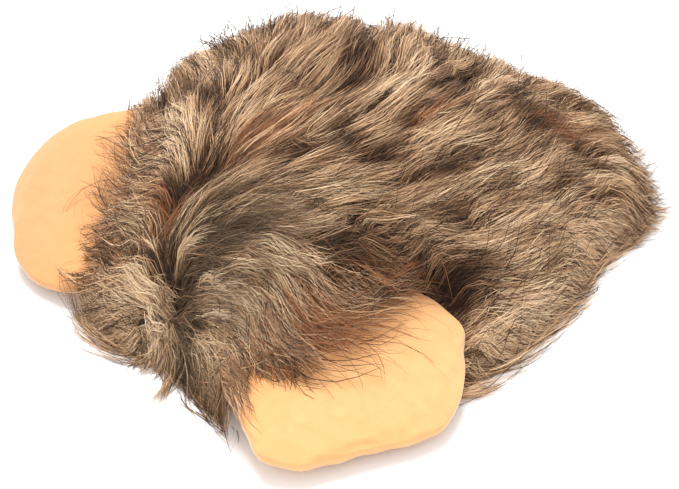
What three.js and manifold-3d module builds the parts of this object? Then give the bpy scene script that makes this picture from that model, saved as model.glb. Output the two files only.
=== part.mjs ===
// A lion mane wig for a dog, laid flat: a hood of long fur, open at face and neck, with two plush ears.
// Millimetres. +Z is up, -Y is the face, +X is the wearer's right as the wig lies here.
// The origin lies on the surface, under the middle of the line between the ears.

import * as THREE from 'three';
import { mergeVertices } from 'three/addons/utils/BufferGeometryUtils.js';
import Module from 'manifold-3d';

const wasm = await Module();
wasm.setup();

// Driving dimensions

const maneReach = 180; // longest way from the crown to the edge of the fur
const crownBack = 94; // how far the crown lies behind the line between the ears
const crownHeight = 84; // top of the fur above the surface
const fullness = 0.58; // how steeply the fur falls at its edge, from 0, a wall, to 1, a cone
const baseShare = 0.86; // how far out the pile's base goes, as a share of the outline
const panelShare = 0.78; // how far out the panel under the hood goes, likewise
const pileDepth = 10; // how far the locks stand above the pile's base at the crown
const lockLength = 52; // a long lock, from root to tip
const lockWidth = 27; // a lock, side to side
const lockThick = 6; // a lock's ridge above its own flat side

const hoodWidth = 180; // across the hood cloth, laid flat
const hoodLength = 208; // from the face hem to the neck hem
const hoodRise = 50; // clear height of the head's hollow
const faceHem = 30; // how far the face hem lies in front of the origin
const clothWall = 3; // backing cloth
const slotWidth = 96; // the passage under the fringe, at the face and at the neck
const slotRise = 7; // that passage's clear height

const chestThick = 9; // the panel under the hood, with its flattened pile
const rimThick = 4; // pile base at its outer edge

const earWidth = 130; // across an ear
const earLength = 118; // an ear from its seam to its tip
const earThick = 10; // the padding at its middle
const earEdge = 2.4; // the sewn edge
const earTipRise = 7; // middle of the padding above the surface, at the tip

const clearance = 0.3; // between pieces that touch
const seamGap = 0.3; // between two pieces of pile at a seam
const finest = 0.08; // the smallest edge that a cut may leave
const closest = 0.001; // points nearer than this touch
const nudge = 0.03; // how far touching points are moved apart

// The fur's outline, as seen from above: the reach at each bearing from the crown, as a share of maneReach.
// Bearing 0 points along +X, 90 along +Y.
const outline = [
  { bearing: 0, reach: 0.833 },
  { bearing: 20, reach: 0.772 },
  { bearing: 40, reach: 0.955 },
  { bearing: 60, reach: 0.944 },
  { bearing: 80, reach: 0.822 },
  { bearing: 100, reach: 0.794 },
  { bearing: 120, reach: 0.806 },
  { bearing: 140, reach: 0.828 },
  { bearing: 160, reach: 0.811 },
  { bearing: 180, reach: 0.806 },
  { bearing: 200, reach: 0.822 },
  { bearing: 220, reach: 0.822 },
  { bearing: 240, reach: 0.9 },
  { bearing: 260, reach: 0.96 },
  { bearing: 280, reach: 0.98 },
  { bearing: 300, reach: 1 },
  { bearing: 320, reach: 0.978 },
  { bearing: 340, reach: 0.85 },
];

const lieReach = 0.12; // within this share of maneReach a row below holds nearly alone

// How the fur lies: at a place, as shares of maneReach from the origin, the locks point along a bearing.
const lie = [
  { place: 'forehead', x: 0.27, y: -0.13, bearing: 14 },
  { place: 'over the right ear', x: 0.56, y: -0.02, bearing: 6 },
  { place: 'in front of the right ear', x: 0.44, y: -0.33, bearing: -25 },
  { place: 'fringe, right', x: 0.31, y: -0.43, bearing: -48 },
  { place: 'fringe, middle', x: 0.11, y: -0.39, bearing: -70 },
  { place: 'fringe, left', x: -0.03, y: -0.4, bearing: -90 },
  { place: 'in front of the left ear', x: -0.28, y: -0.31, bearing: -125 },
  { place: 'over the left ear', x: -0.27, y: -0.09, bearing: -163 },
  { place: 'behind the left ear', x: -0.44, y: 0.17, bearing: 163 },
  { place: 'left side', x: -0.56, y: 0.5, bearing: 152 },
  { place: 'left of the ridge', x: -0.27, y: 0.68, bearing: 128 },
  { place: 'rear left', x: -0.22, y: 1.06, bearing: 118 },
  { place: 'right of the ridge', x: 0.03, y: 0.56, bearing: 60 },
  { place: 'right flank', x: 0.5, y: 0.47, bearing: 76 },
  { place: 'behind the right ear', x: 0.61, y: 0.33, bearing: 52 },
  { place: 'right edge', x: 0.83, y: 0.61, bearing: 20 },
  { place: 'rear right corner', x: 0.64, y: 1.12, bearing: 42 },
  { place: 'rear', x: 0.33, y: 1.19, bearing: 86 },
];

// Dents in the fur, each along a line between two places, as shares of maneReach and of crownHeight.
const dents = [
  { dent: 'whorl', fromX: -0.06, fromY: -0.05, toX: -0.05, toY: 0.02, deep: 0.16, wide: 0.11 },
  { dent: 'back parting', fromX: -0.07, fromY: 0.05, toX: -0.02, toY: 0.53, deep: 0.07, wide: 0.08 },
  { dent: 'back parting, end', fromX: -0.02, fromY: 0.53, toX: 0.17, toY: 0.97, deep: 0.07, wide: 0.08 },
  { dent: 'brow parting', fromX: -0.05, fromY: -0.05, toX: 0.22, toY: -0.31, deep: 0.08, wide: 0.08 },
  { dent: 'fold behind the ear', fromX: 0.42, fromY: 0.36, toX: 0.8, toY: 0.52, deep: 0.13, wide: 0.09 },
];

// The hood cloth, from hem to hem: along as a share of hoodLength, half its width and its rise as shares.
const hoodSections = [
  { along: 0, width: 0.62, rise: 0.3 },
  { along: 0.12, width: 0.7, rise: 0.46 },
  { along: 0.3, width: 0.88, rise: 0.8 },
  { along: 0.48, width: 1, rise: 1 },
  { along: 0.66, width: 1, rise: 0.95 },
  { along: 0.84, width: 0.88, rise: 0.74 },
  { along: 1, width: 0.7, rise: 0.46 },
];

// Half of an ear's outline about its middle: 0 points to the tip, 180 to the seam.
const earOutline = [
  { bearing: 0, reach: 0.98 },
  { bearing: 22, reach: 0.97 },
  { bearing: 45, reach: 1.03 },
  { bearing: 68, reach: 1.02 },
  { bearing: 90, reach: 1 },
  { bearing: 112, reach: 0.98 },
  { bearing: 135, reach: 0.96 },
  { bearing: 158, reach: 0.9 },
  { bearing: 180, reach: 0.88 },
];

// Where each ear lies: its middle as shares of maneReach, the bearing of its tip, how much of its length
// shows past the fur, and how far the seam and the rear side lie above the tip, as shares of crownHeight.
const ears = [
  { name: 'ear_right', x: 0.585, y: -0.06, bearing: -8, shows: 0.64, seamRise: 0.38, rearRise: 0.06 },
  { name: 'ear_left', x: -0.405, y: 0.03, bearing: 211, shows: 0.48, seamRise: 0.2, rearRise: 0.3 },
];

// The seams in the pile, as bearings from the whorl, and the pile between each two of them
const whorl = { x: -0.06 * maneReach, y: -0.05 * maneReach };
const gores = [
  { name: 'mane_right', from: 4, to: 78 },
  { name: 'mane_left', from: 78, to: 184 },
  { name: 'brow_fringe', from: 184, to: 364 },
];

const crown = { x: 0, y: crownBack };
const seamLevel = chestThick + clearance;
const toRadians = THREE.MathUtils.degToRad;
const faceHemY = -faceHem;
const neckHemY = hoodLength - faceHem;

// Small helpers

// A repeatable random number from 0 to 1, one sequence for each seed
function randomFrom(seed) {
  let state = seed;
  return () => {
    state = (Math.imul(state, 1664525) + 1013904223) >>> 0;
    return state / 4294967296;
  };
}

// A closed ring of rows with a bearing and a reach, read smoothly between them
function reachOf(rows, bearing) {
  const turn = 360;
  const at = ((bearing % turn) + turn) % turn;
  const next = rows.findIndex((row) => row.bearing > at);
  const after = next < 0 ? rows[0] : rows[next];
  const before = next < 0 ? rows[rows.length - 1] : rows[(next + rows.length - 1) % rows.length];
  const span = (after.bearing - before.bearing + turn) % turn;
  const share = ((at - before.bearing + turn) % turn) / span;
  return THREE.MathUtils.lerp(before.reach, after.reach, THREE.MathUtils.smoothstep(share, 0, 1));
}

// Rows in order of a column named along, read straight between them
function rowAt(rows, along) {
  const next = Math.max(1, rows.findIndex((row) => row.along >= along));
  const after = along > 1 ? rows[rows.length - 1] : rows[next];
  const before = rows[rows.indexOf(after) - 1];
  const share = THREE.MathUtils.clamp((along - before.along) / (after.along - before.along), 0, 1);
  return {
    width: THREE.MathUtils.lerp(before.width, after.width, share),
    rise: THREE.MathUtils.lerp(before.rise, after.rise, share),
  };
}

// A bearing and a distance from a place
function pointAt(place, bearing, distance) {
  const angle = toRadians(bearing);
  return { x: place.x + distance * Math.cos(angle), y: place.y + distance * Math.sin(angle) };
}

function bearingFrom(place, point) {
  return THREE.MathUtils.radToDeg(Math.atan2(point.y - place.y, point.x - place.x));
}

// The shape of the fur

// How far out a point lies: 0 at the crown, 1 at the fur's outline
function furShare(point) {
  const distance = Math.hypot(point.x - crown.x, point.y - crown.y);
  return distance / (maneReach * reachOf(outline, bearingFrom(crown, point)));
}

// The distance from a point to the line of a dent
function dentDistance(dent, point) {
  const from = new THREE.Vector2(dent.fromX, dent.fromY).multiplyScalar(maneReach);
  const to = new THREE.Vector2(dent.toX, dent.toY).multiplyScalar(maneReach);
  const along = to.clone().sub(from);
  const offset = new THREE.Vector2(point.x, point.y).sub(from);
  const share = THREE.MathUtils.clamp(offset.dot(along) / along.lengthSq(), 0, 1);
  return offset.sub(along.multiplyScalar(share)).length();
}

// A dome that is 1 at the crown and falls to 0 where the share is 1
function domeAt(share) {
  return share < 1 ? (1 - share ** 2) ** fullness : 0;
}

// What the dents leave of the height at a point
function undented(point) {
  return dents.reduce((left, dent) => {
    const near = dentDistance(dent, point) / (dent.wide * maneReach);
    return left - dent.deep * Math.exp(-(near ** 2));
  }, 1);
}

// The height of the fur: a dome that falls to the surface at the outline, less its dents
function furHeight(point) {
  return crownHeight * domeAt(furShare(point)) * undented(point);
}

// The bearing in which the fur lies, from the rows near the point: a nearer row counts for more
function lieAt(point) {
  const reach = lieReach * maneReach;
  let x = 0;
  let y = 0;
  for (const row of lie) {
    const distance = Math.hypot(point.x - row.x * maneReach, point.y - row.y * maneReach);
    const weight = (distance ** 2 + reach ** 2) ** -1.5;
    x += weight * Math.cos(toRadians(row.bearing));
    y += weight * Math.sin(toRadians(row.bearing));
  }
  return THREE.MathUtils.radToDeg(Math.atan2(y, x));
}

// The pile's base under the locks
function baseHeight(point) {
  const room = crownHeight - pileDepth - seamLevel - rimThick;
  return seamLevel + rimThick + room * domeAt(furShare(point) / baseShare) * undented(point);
}

// Closed bodies

function closedSolid(geometry) {
  geometry.deleteAttribute('normal');
  geometry.deleteAttribute('uv');
  const merged = mergeVertices(geometry, 1e-4);
  return new wasm.Manifold(
    new wasm.Mesh({
      numProp: 3,
      vertProperties: new Float32Array(merged.attributes.position.array),
      triVerts: new Uint32Array(merged.index.array),
    }),
  );
}

function toSolid(positions, triangles) {
  const geometry = new THREE.BufferGeometry();
  geometry.setAttribute('position', new THREE.Float32BufferAttribute(positions.flat(), 3));
  geometry.setIndex(triangles.flat());
  return closedSolid(geometry);
}

const roundedTo = (value) => Math.round(value / closest);

// Two stretches of surface that a cut leaves touching: each of their shared points moves a hair towards
// its own neighbours, so that they part.
function partTouching({ vertProperties, triVerts }) {
  const keyOf = (vertex) => Array.from(vertProperties.slice(3 * vertex, 3 * vertex + 3), roundedTo).join();
  const found = new Map();
  for (let vertex = 0; vertex < vertProperties.length / 3; vertex += 1) {
    const key = keyOf(vertex);
    found.set(key, [...(found.get(key) ?? []), vertex]);
  }
  const doubles = [...found.values()].filter((same) => same.length > 1).flat();
  const touching = new Map(doubles.map((vertex) => [vertex, new THREE.Vector3()]));
  const placeOf = (vertex) => new THREE.Vector3().fromArray(vertProperties, 3 * vertex);
  triVerts.forEach((vertex, corner) => {
    if (!touching.has(vertex)) return;
    const next = triVerts[3 * Math.floor(corner / 3) + ((corner + 1) % 3)];
    touching.get(vertex).add(placeOf(next).sub(placeOf(vertex)));
  });
  for (const [vertex, pull] of touching) {
    placeOf(vertex).add(pull.setLength(nudge)).toArray(vertProperties, 3 * vertex);
  }
}

function toGeometry(solid) {
  const mesh = solid.getMesh();
  partTouching(mesh);
  const geometry = new THREE.BufferGeometry();
  geometry.setAttribute('position', new THREE.BufferAttribute(mesh.vertProperties, 3));
  geometry.setIndex(new THREE.BufferAttribute(mesh.triVerts, 1));
  return geometry;
}

// A body between two surfaces over a round plan: rings of points about a middle, one surface above
// and one below, which meet in a wall at the last ring.
function roundBody({ middle, sides, rings, edgeAt, topAt, bottomAt }) {
  const points = [];
  const triangles = [];
  const addSurface = (shares, heightAt) => {
    const first = points.length;
    points.push([middle.x, middle.y, heightAt(middle, 0)]);
    for (const share of shares) {
      for (let side = 0; side < sides; side += 1) {
        const edge = edgeAt((side * 360) / sides);
        const point = {
          x: THREE.MathUtils.lerp(middle.x, edge.x, share),
          y: THREE.MathUtils.lerp(middle.y, edge.y, share),
        };
        points.push([point.x, point.y, heightAt(point, share)]);
      }
    }
    return first;
  };
  const ringStart = (first, ring) => first + 1 + ring * sides;
  const addFaces = (first, count, flip) => {
    const face = (a, b, c) => triangles.push(flip ? [a, c, b] : [a, b, c]);
    for (let side = 0; side < sides; side += 1) {
      const next = (side + 1) % sides;
      face(first, ringStart(first, 0) + side, ringStart(first, 0) + next);
      for (let ring = 1; ring < count; ring += 1) {
        const inner = ringStart(first, ring - 1);
        const outer = ringStart(first, ring);
        face(inner + side, outer + side, outer + next);
        face(inner + side, outer + next, inner + next);
      }
    }
  };
  const top = addSurface(rings.top, topAt);
  const bottom = addSurface(rings.bottom, bottomAt);
  addFaces(top, rings.top.length, false);
  addFaces(bottom, rings.bottom.length, true);
  const topRim = ringStart(top, rings.top.length - 1);
  const bottomRim = ringStart(bottom, rings.bottom.length - 1);
  for (let side = 0; side < sides; side += 1) {
    const next = (side + 1) % sides;
    triangles.push([topRim + side, bottomRim + side, bottomRim + next]);
    triangles.push([topRim + side, bottomRim + next, topRim + next]);
  }
  return toSolid(points, triangles);
}

// A body lofted backwards through sections with the same number of points, flat at both ends. Each section
// runs clockwise, as seen from the face.
function loftBody(sections) {
  const count = sections[0].length;
  const triangles = [];
  for (let row = 1; row < sections.length; row += 1) {
    for (let step = 0; step < count; step += 1) {
      const next = (step + 1) % count;
      const a = (row - 1) * count;
      const b = row * count;
      triangles.push([a + step, a + next, b + next], [a + step, b + next, b + step]);
    }
  }
  const contour = sections[0].map(([x, , z]) => new THREE.Vector2(x, z));
  const last = (sections.length - 1) * count;
  for (const [a, b, c] of THREE.ShapeUtils.triangulateShape(contour, [])) {
    const clockwise = THREE.ShapeUtils.isClockWise([contour[a], contour[b], contour[c]]);
    const [second, third] = clockwise ? [c, b] : [b, c];
    triangles.push([a, second, third], [last + a, last + third, last + second]);
  }
  return toSolid(sections.flat(), triangles);
}

// The hood cloth

const archSteps = 14;
const archBulge = 0.9; // under 1, the arch is fuller at its sides than a circle
const archPeak = 1.1; // over 1, its top is narrower

// Half an arch across the hood at one place, from its left foot over the top to its right foot
function archPoints(y, halfWidth, rise, foot) {
  return Array.from({ length: archSteps + 1 }, (_, step) => {
    const turn = Math.PI * (1 - step / archSteps);
    const side = Math.sign(Math.cos(turn)) * Math.abs(Math.cos(turn)) ** archBulge;
    return [crown.x + side * halfWidth, y, foot + rise * Math.sin(turn) ** archPeak];
  });
}

function hoodSection(along, grown) {
  const row = rowAt(hoodSections, along);
  return {
    y: faceHemY + along * hoodLength,
    halfWidth: (row.width * hoodWidth) / 2 + grown,
    rise: row.rise * hoodRise + clothWall + grown,
  };
}

function hoodCloth() {
  const sections = hoodSections.map(({ along }) => {
    const { y, halfWidth, rise } = hoodSection(along, 0);
    const outer = archPoints(y, halfWidth, rise, seamLevel);
    const inner = archPoints(y, halfWidth - clothWall, rise - clothWall, seamLevel);
    return [...outer, ...inner.reverse()];
  });
  return loftBody(sections);
}

// The height of the hood cloth's outside above the surface, and 0 beside it
function hoodTop(point) {
  const along = (point.y - faceHemY) / hoodLength;
  if (along < 0 || along > 1) return 0;
  const { halfWidth, rise } = hoodSection(along, 0);
  const side = Math.abs(point.x - crown.x) / halfWidth;
  if (side > 1) return 0;
  return seamLevel + rise * Math.sin(Math.acos(side ** (1 / archBulge))) ** archPeak;
}

// The room of an arch across the hood, down to the surface
function archRoom(y, halfWidth, rise) {
  const arch = archPoints(y, halfWidth, rise, seamLevel);
  const [left, right] = [arch[0], arch[arch.length - 1]];
  return [[left[0], y, 0], ...arch, [right[0], y, 0]];
}

// What the hood keeps clear of pile and padding, its hollow filled
function hoodRoom() {
  const sections = hoodSections.map(({ along }) => {
    const { y, halfWidth, rise } = hoodSection(along, clearance);
    const past = clearance * (Number(along === 1) - Number(along === 0));
    return archRoom(y + past, halfWidth, rise);
  });
  return loftBody(sections);
}

// The passage under the fringe, from before the face to behind the neck
function passageRoom() {
  const ends = [faceHemY - maneReach, neckHemY + maneReach];
  return loftBody(ends.map((y) => archRoom(y, slotWidth / 2, slotRise)));
}

// The ears

// An ear, or the room that it takes when it is grown by a clearance, or all that lies above its middle
function earBody(ear, grown, above = 0) {
  const middle = { x: ear.x * maneReach, y: ear.y * maneReach };
  const tip = pointAt(middle, ear.bearing, earLength / 2);
  const axis = new THREE.Vector2(tip.x - middle.x, tip.y - middle.y).normalize();
  const across = new THREE.Vector2(-axis.y, axis.x);
  const edgeAt = (bearing) => {
    const half = bearing > 180 ? 360 - bearing : bearing;
    const reach = reachOf([...earOutline, { bearing: 360, reach: earOutline[0].reach }], half);
    const long = (earLength / 2) * reach * Math.cos(toRadians(bearing)) * (1 + (2 * grown) / earLength);
    const wide = (earWidth / 2) * reach * Math.sin(toRadians(bearing)) * (1 + (2 * grown) / earWidth);
    return {
      x: middle.x + long * axis.x + wide * across.x,
      y: middle.y + long * axis.y + wide * across.y,
    };
  };
  const halfThick = (share) => (earEdge + (earThick - earEdge) * Math.sqrt(1 - share ** 4)) / 2;
  const levelAt = (point) => {
    const fromTip = (tip.x - point.x) * axis.x + (tip.y - point.y) * axis.y;
    const share = THREE.MathUtils.clamp(fromTip / earLength, 0, 1);
    const sideways = (point.x - middle.x) * across.x + (point.y - middle.y) * across.y;
    const rearward = 0.5 + (Math.sign(across.y) * sideways) / earWidth;
    const rise = ear.seamRise * share ** 1.6 + ear.rearRise * THREE.MathUtils.clamp(rearward, 0, 1);
    return Math.max(earTipRise + rise * crownHeight, hoodTop(point) + 2 * clearance + earThick / 2);
  };
  const shares = [0.35, 0.65, 0.85, 1];
  const steep = 2.5; // more room up and down than sideways, for the slopes
  return roundBody({
    middle,
    sides: 28,
    rings: { top: shares, bottom: shares },
    edgeAt,
    topAt: (point, share) => levelAt(point) + (above || halfThick(share) + steep * grown),
    bottomAt: (point, share) => levelAt(point) - (above ? 0 : halfThick(share) + steep * grown),
  });
}

// What stands over the part of an ear that shows: a box past the fur's edge, from the ear upwards
function overEar(ear) {
  const middle = { x: ear.x * maneReach, y: ear.y * maneReach };
  const furEdge = pointAt(middle, ear.bearing, earLength * (0.5 - ear.shows));
  const box = new THREE.BoxGeometry(earLength, 2 * earWidth, 4 * crownHeight);
  box.translate(earLength / 2, 0, 0);
  box.rotateZ(toRadians(ear.bearing));
  box.translate(furEdge.x, furEdge.y, 0);
  return earBody(ear, 4 * clearance, crownHeight).intersect(closedSolid(box));
}

// The locks

// A lock's sections: how far along it each one lies, and how wide it is
const lockStations = [
  { along: 0, wide: 0.7 },
  { along: 0.42, wide: 1 },
  { along: 0.78, wide: 0.62 },
];

// One lock: three three-cornered sections and a tip. Each section has a flat side below and a ridge.
function lock({ root, bearing, length, width, swing, ridgeAt, underAt }) {
  const placeAt = (along) => {
    const turned = bearing + swing * along;
    return pointAt(root, turned, length * along);
  };
  const points = [];
  for (const { along, wide } of lockStations) {
    const place = placeAt(along);
    const half = (width * wide) / 2;
    const left = pointAt(place, bearing + swing * along + 90, half);
    const right = pointAt(place, bearing + swing * along - 90, half);
    points.push([left.x, left.y, underAt(left, along)]);
    points.push([right.x, right.y, underAt(right, along)]);
    points.push([place.x, place.y, ridgeAt(place, along)]);
  }
  const tip = placeAt(1);
  points.push([tip.x, tip.y, (underAt(tip, 1) + ridgeAt(tip, 1)) / 2]);
  const last = points.length - 1;
  const triangles = [[0, 1, 2]];
  for (let row = 1; row < lockStations.length; row += 1) {
    for (let corner = 0; corner < 3; corner += 1) {
      const next = (corner + 1) % 3;
      const a = 3 * (row - 1);
      const b = 3 * row;
      triangles.push([a + corner, b + next, a + next], [a + corner, b + corner, b + next]);
    }
  }
  const end = 3 * (lockStations.length - 1);
  for (let corner = 0; corner < 3; corner += 1) {
    triangles.push([end + corner, last, end + ((corner + 1) % 3)]);
  }
  return toSolid(points, triangles);
}

// Whether a point lies over the part of an ear that shows, past the tips that hang over its edge
function onShownEar(point) {
  const overhang = tipOverhang * lockLength;
  return ears.some((ear) => {
    const middle = { x: ear.x * maneReach, y: ear.y * maneReach };
    const distance = Math.hypot(point.x - middle.x, point.y - middle.y);
    const turn = toRadians(bearingFrom(middle, point) - ear.bearing);
    const along = distance * Math.cos(turn);
    const inside = (2 * along / earLength) ** 2 + (2 * distance * Math.sin(turn) / earWidth) ** 2 < 1;
    return inside && along > earLength * (0.5 - ear.shows) + overhang;
  });
}

// The lock's length, cut short so that its tip stays inside the fur's outline, and off the ears above them
function fitted(root, bearing, length, mostShare, underEars) {
  const steps = 24;
  for (let step = 1; step <= steps; step += 1) {
    const point = pointAt(root, bearing, (length * step) / steps);
    const stopped = furShare(point) > mostShare || (!underEars && onShownEar(point));
    if (stopped) return (length * (step - 1)) / steps;
  }
  return length;
}

// Rows of locks from the crown outwards: how far out each row has its roots, and how long its locks are
const lockRows = [
  { row: 'crown', out: 0.08, length: 0.85 },
  { row: 'first', out: 0.23, length: 1 },
  { row: 'second', out: 0.38, length: 1 },
  { row: 'third', out: 0.52, length: 1 },
  { row: 'fourth', out: 0.66, length: 0.95 },
  { row: 'skirt', out: 0.8, length: 0.85 },
];

// How unlike each other the locks are: the width of the range in which each value lies
const spread = { place: 0.6, out: 0.06, bearing: 16, length: 0.3, reach: 0.05, width: 0.35, swing: 24 };
const meanReach = 0.85; // of the outline
const lockSpacing = 1.04; // between two roots in a row, as a share of lockWidth
const rowTurn = 20; // degrees that the rows are turned against each other, at the outline
const shortestLock = 0.4; // as a share of lockLength
const tipOverhang = 0.2; // how far tips hang over an ear, likewise

// The roots, bearings and lengths of the locks in rows about the crown
function lockPlan(rows, seed, underEars) {
  const random = randomFrom(seed);
  const plan = [];
  for (const row of rows) {
    const around = 2 * Math.PI * row.out * maneReach * meanReach;
    const count = Math.max(4, Math.round(around / (lockWidth * lockSpacing)));
    for (let number = 0; number < count; number += 1) {
      const bearing = ((number + spread.place * random()) * 360) / count + rowTurn * row.out;
      const edge = maneReach * reachOf(outline, bearing);
      const root = pointAt(crown, bearing, edge * (row.out + spread.out * (random() - 0.5)));
      const points = lieAt(root) + spread.bearing * (random() - 0.5);
      const longest = lockLength * row.length * (1 + spread.length * (random() - 0.5));
      const mostShare = 1.01 + spread.reach * random();
      plan.push({
        root,
        bearing: points,
        length: fitted(root, points, longest, mostShare, underEars),
        width: lockWidth * (0.85 + spread.width * random()),
        swing: spread.swing * (random() - 0.5),
      });
    }
  }
  return plan.filter((item) => item.length > shortestLock * lockLength);
}

// A lock of the upper pile: it rises from the base, stands clear of it and bends down to its tip
function upperLock(item) {
  const lowest = seamLevel + clearance + 0.3 * rimThick;
  const bent = lockStations[1].along; // where the ridge has risen out of the base
  const loose = 0.3; // from here on the lock's flat side parts from the base
  const proud = 2; // the ridge above the fur's own height
  const above = (point) => Math.max(furHeight(point), lowest + 0.7 * lockThick);
  return lock({
    ...item,
    ridgeAt: (point, along) => {
      const rising = THREE.MathUtils.lerp(baseHeight(point) - 1, above(point) + proud, along / bent);
      return along < bent ? rising : above(point) + proud * (1 - along);
    },
    underAt: (point, along) => {
      const inBase = baseHeight(point) - 0.5 * lockThick;
      const free = above(point) - 0.8 * lockThick;
      const parted = Math.max(0, (along - loose) / (1 - loose));
      return Math.max(THREE.MathUtils.lerp(inBase, free, parted), lowest);
    },
  });
}

const tipLift = 0.1; // a rim lock's tip above the surface, as a share of lockThick

// A lock of the chest's rim: flat on the surface, thinning to its tip
function rimLock(item) {
  return lock({
    ...item,
    swing: item.swing / 2,
    ridgeAt: (point, along) => THREE.MathUtils.lerp(0.93 * chestThick, 0.45 * lockThick, along),
    underAt: (point, along) => (along < 1 ? 0 : tipLift * lockThick),
  });
}

// The pile between two seams: a wedge of space from the whorl outwards
function goreSpace(gore) {
  const middle = (gore.from + gore.to) / 2;
  const half = (gore.to - gore.from) / 2;
  const apex = pointAt(whorl, middle, seamGap / 2 / Math.sin(toRadians(half)));
  const corners = [apex];
  const arcs = 6;
  for (let step = 0; step <= arcs; step += 1) {
    corners.push(pointAt(apex, gore.from + ((gore.to - gore.from) * step) / arcs, 4 * maneReach));
  }
  const shape = new THREE.Shape(corners.map(({ x, y }) => new THREE.Vector2(x, y)));
  const prism = new THREE.ExtrudeGeometry(shape, { depth: 4 * crownHeight, bevelEnabled: false });
  prism.translate(0, 0, -crownHeight);
  return closedSolid(prism);
}

function inGore(gore, point) {
  const turn = (((bearingFrom(whorl, point) - gore.from) % 360) + 360) % 360;
  return turn < gore.to - gore.from;
}

// Drops the crumbs that a cut leaves beside the main body
function mainBody(solid) {
  const bodies = solid.simplify(finest).decompose();
  return bodies.reduce((best, body) => (body.volume() > best.volume() ? body : best));
}

function pileBase() {
  return roundBody({
    middle: crown,
    sides: 40,
    rings: { top: [0.2, 0.4, 0.58, 0.74, 0.87, 0.96, 1], bottom: [1] },
    edgeAt: (bearing) => pointAt(crown, bearing, baseShare * maneReach * reachOf(outline, bearing)),
    topAt: (point) => baseHeight(point),
    bottomAt: () => seamLevel + clearance,
  });
}

function chestPanel() {
  return roundBody({
    middle: crown,
    sides: 40,
    rings: { top: [1], bottom: [1] },
    edgeAt: (bearing) => pointAt(crown, bearing, panelShare * maneReach * reachOf(outline, bearing)),
    topAt: () => chestThick,
    bottomAt: () => 0,
  });
}

// The pieces

const earRooms = ears.map((ear) => earBody(ear, clearance));
const earSpaces = ears.map((ear) => overEar(ear));
const base = earSpaces.reduce((solid, space) => solid.subtract(space), pileBase());
const plan = lockPlan(lockRows, 7, false);
const headRoom = hoodRoom();
const furRoom = headRoom.add(passageRoom());

function pile(gore) {
  const locks = plan.filter((item) => inGore(gore, item.root)).map((item) => upperLock(item));
  const grown = locks.reduce((solid, item) => solid.add(item), base);
  const cut = earRooms.reduce((solid, room) => solid.subtract(room), grown.subtract(furRoom));
  return mainBody(cut.intersect(goreSpace(gore)));
}

function chest() {
  const rim = [{ row: 'rim', out: 0.74, length: 0.95 }];
  const locks = lockPlan(rim, 11, true).map((item) => rimLock(item));
  const whole = locks.reduce((solid, item) => solid.add(item), chestPanel());
  return mainBody(earRooms.reduce((solid, room) => solid.subtract(room), whole));
}

const furBrown = new THREE.MeshStandardMaterial({ color: 0x8a6a4c, roughness: 0.85, metalness: 0 });
const furSand = new THREE.MeshStandardMaterial({ color: 0xa98560, roughness: 0.85, metalness: 0 });
const furDark = new THREE.MeshStandardMaterial({ color: 0x5a4434, roughness: 0.88, metalness: 0 });
const backing = new THREE.MeshStandardMaterial({ color: 0x6b5442, roughness: 0.92, metalness: 0 });
const plush = new THREE.MeshStandardMaterial({ color: 0xf6c888, roughness: 0.9, metalness: 0 });

function piece(name, solid, material) {
  const mesh = new THREE.Mesh(toGeometry(solid), material);
  mesh.name = name;
  return mesh;
}

const hood = new THREE.Group();
hood.add(piece('hood_cloth', hoodCloth(), backing));
hood.add(piece('chest_fur', chest(), furDark));

const mane = new THREE.Group();
const furOf = { mane_right: furBrown, mane_left: furSand, brow_fringe: furBrown };
for (const gore of gores) mane.add(piece(gore.name, pile(gore), furOf[gore.name]));

const plushEars = new THREE.Group();
for (const ear of ears) plushEars.add(piece(ear.name, earBody(ear, 0).subtract(headRoom), plush));

const wig = new THREE.Group();
wig.add(hood, mane, plushEars);

export default wig;
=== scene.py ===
import math
import bmesh
import bpy
import numpy as np
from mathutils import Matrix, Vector


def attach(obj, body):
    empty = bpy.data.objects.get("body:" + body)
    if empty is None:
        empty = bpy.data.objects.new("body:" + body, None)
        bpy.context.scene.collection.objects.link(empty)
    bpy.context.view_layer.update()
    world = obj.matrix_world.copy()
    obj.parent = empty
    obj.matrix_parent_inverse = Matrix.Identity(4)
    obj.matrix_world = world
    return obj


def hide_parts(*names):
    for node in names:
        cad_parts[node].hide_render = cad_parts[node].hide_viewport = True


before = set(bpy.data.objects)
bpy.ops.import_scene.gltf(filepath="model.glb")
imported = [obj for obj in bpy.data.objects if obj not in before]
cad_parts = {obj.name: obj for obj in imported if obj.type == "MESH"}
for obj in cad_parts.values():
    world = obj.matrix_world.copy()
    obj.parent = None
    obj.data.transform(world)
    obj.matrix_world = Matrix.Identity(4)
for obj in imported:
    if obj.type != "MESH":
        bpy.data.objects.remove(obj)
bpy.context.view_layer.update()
print("frame loaded")

# Metres, +Z up, -Y the face. The sizes are the part's own. The edges of the fur and of the ears
# keep closer to the photo.
wig = {
    "maneReach": 0.180,   # longest way from the crown to the edge of the fur
    "crownBack": 0.094,   # the crown behind the line between the ears
    "crownHeight": 0.084,
    "fullness": 0.58,
    "baseShare": 0.86,    # how far out the pile's base goes
    "panelShare": 0.78,
    "pileDepth": 0.010,
    "seamLevel": 0.0093,  # top of the chest panel
    "rimThick": 0.004,
    "hoodWidth": 0.180,
    "hoodLength": 0.208,
    "hoodRise": 0.050,
    "faceHem": 0.030,
    "clothWall": 0.003,
    "slotWidth": 0.096,   # the passage under the fringe, at the face and at the neck
    "slotRise": 0.007,
    "gap": 0.0004,
    "free": 0.002,        # what strands may stand over the crown freely
    "most": 0.0085,       # and the most that they may stand over that
    "lieNear": 0.075,     # how the fur's lie blends between the rows of its table
    "liePower": 1.6,
    "archSquare": 0.9,    # powers that square the hood's arch and flatten it
    "archFlat": 1.1,
}
reach = wig["maneReach"]

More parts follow.
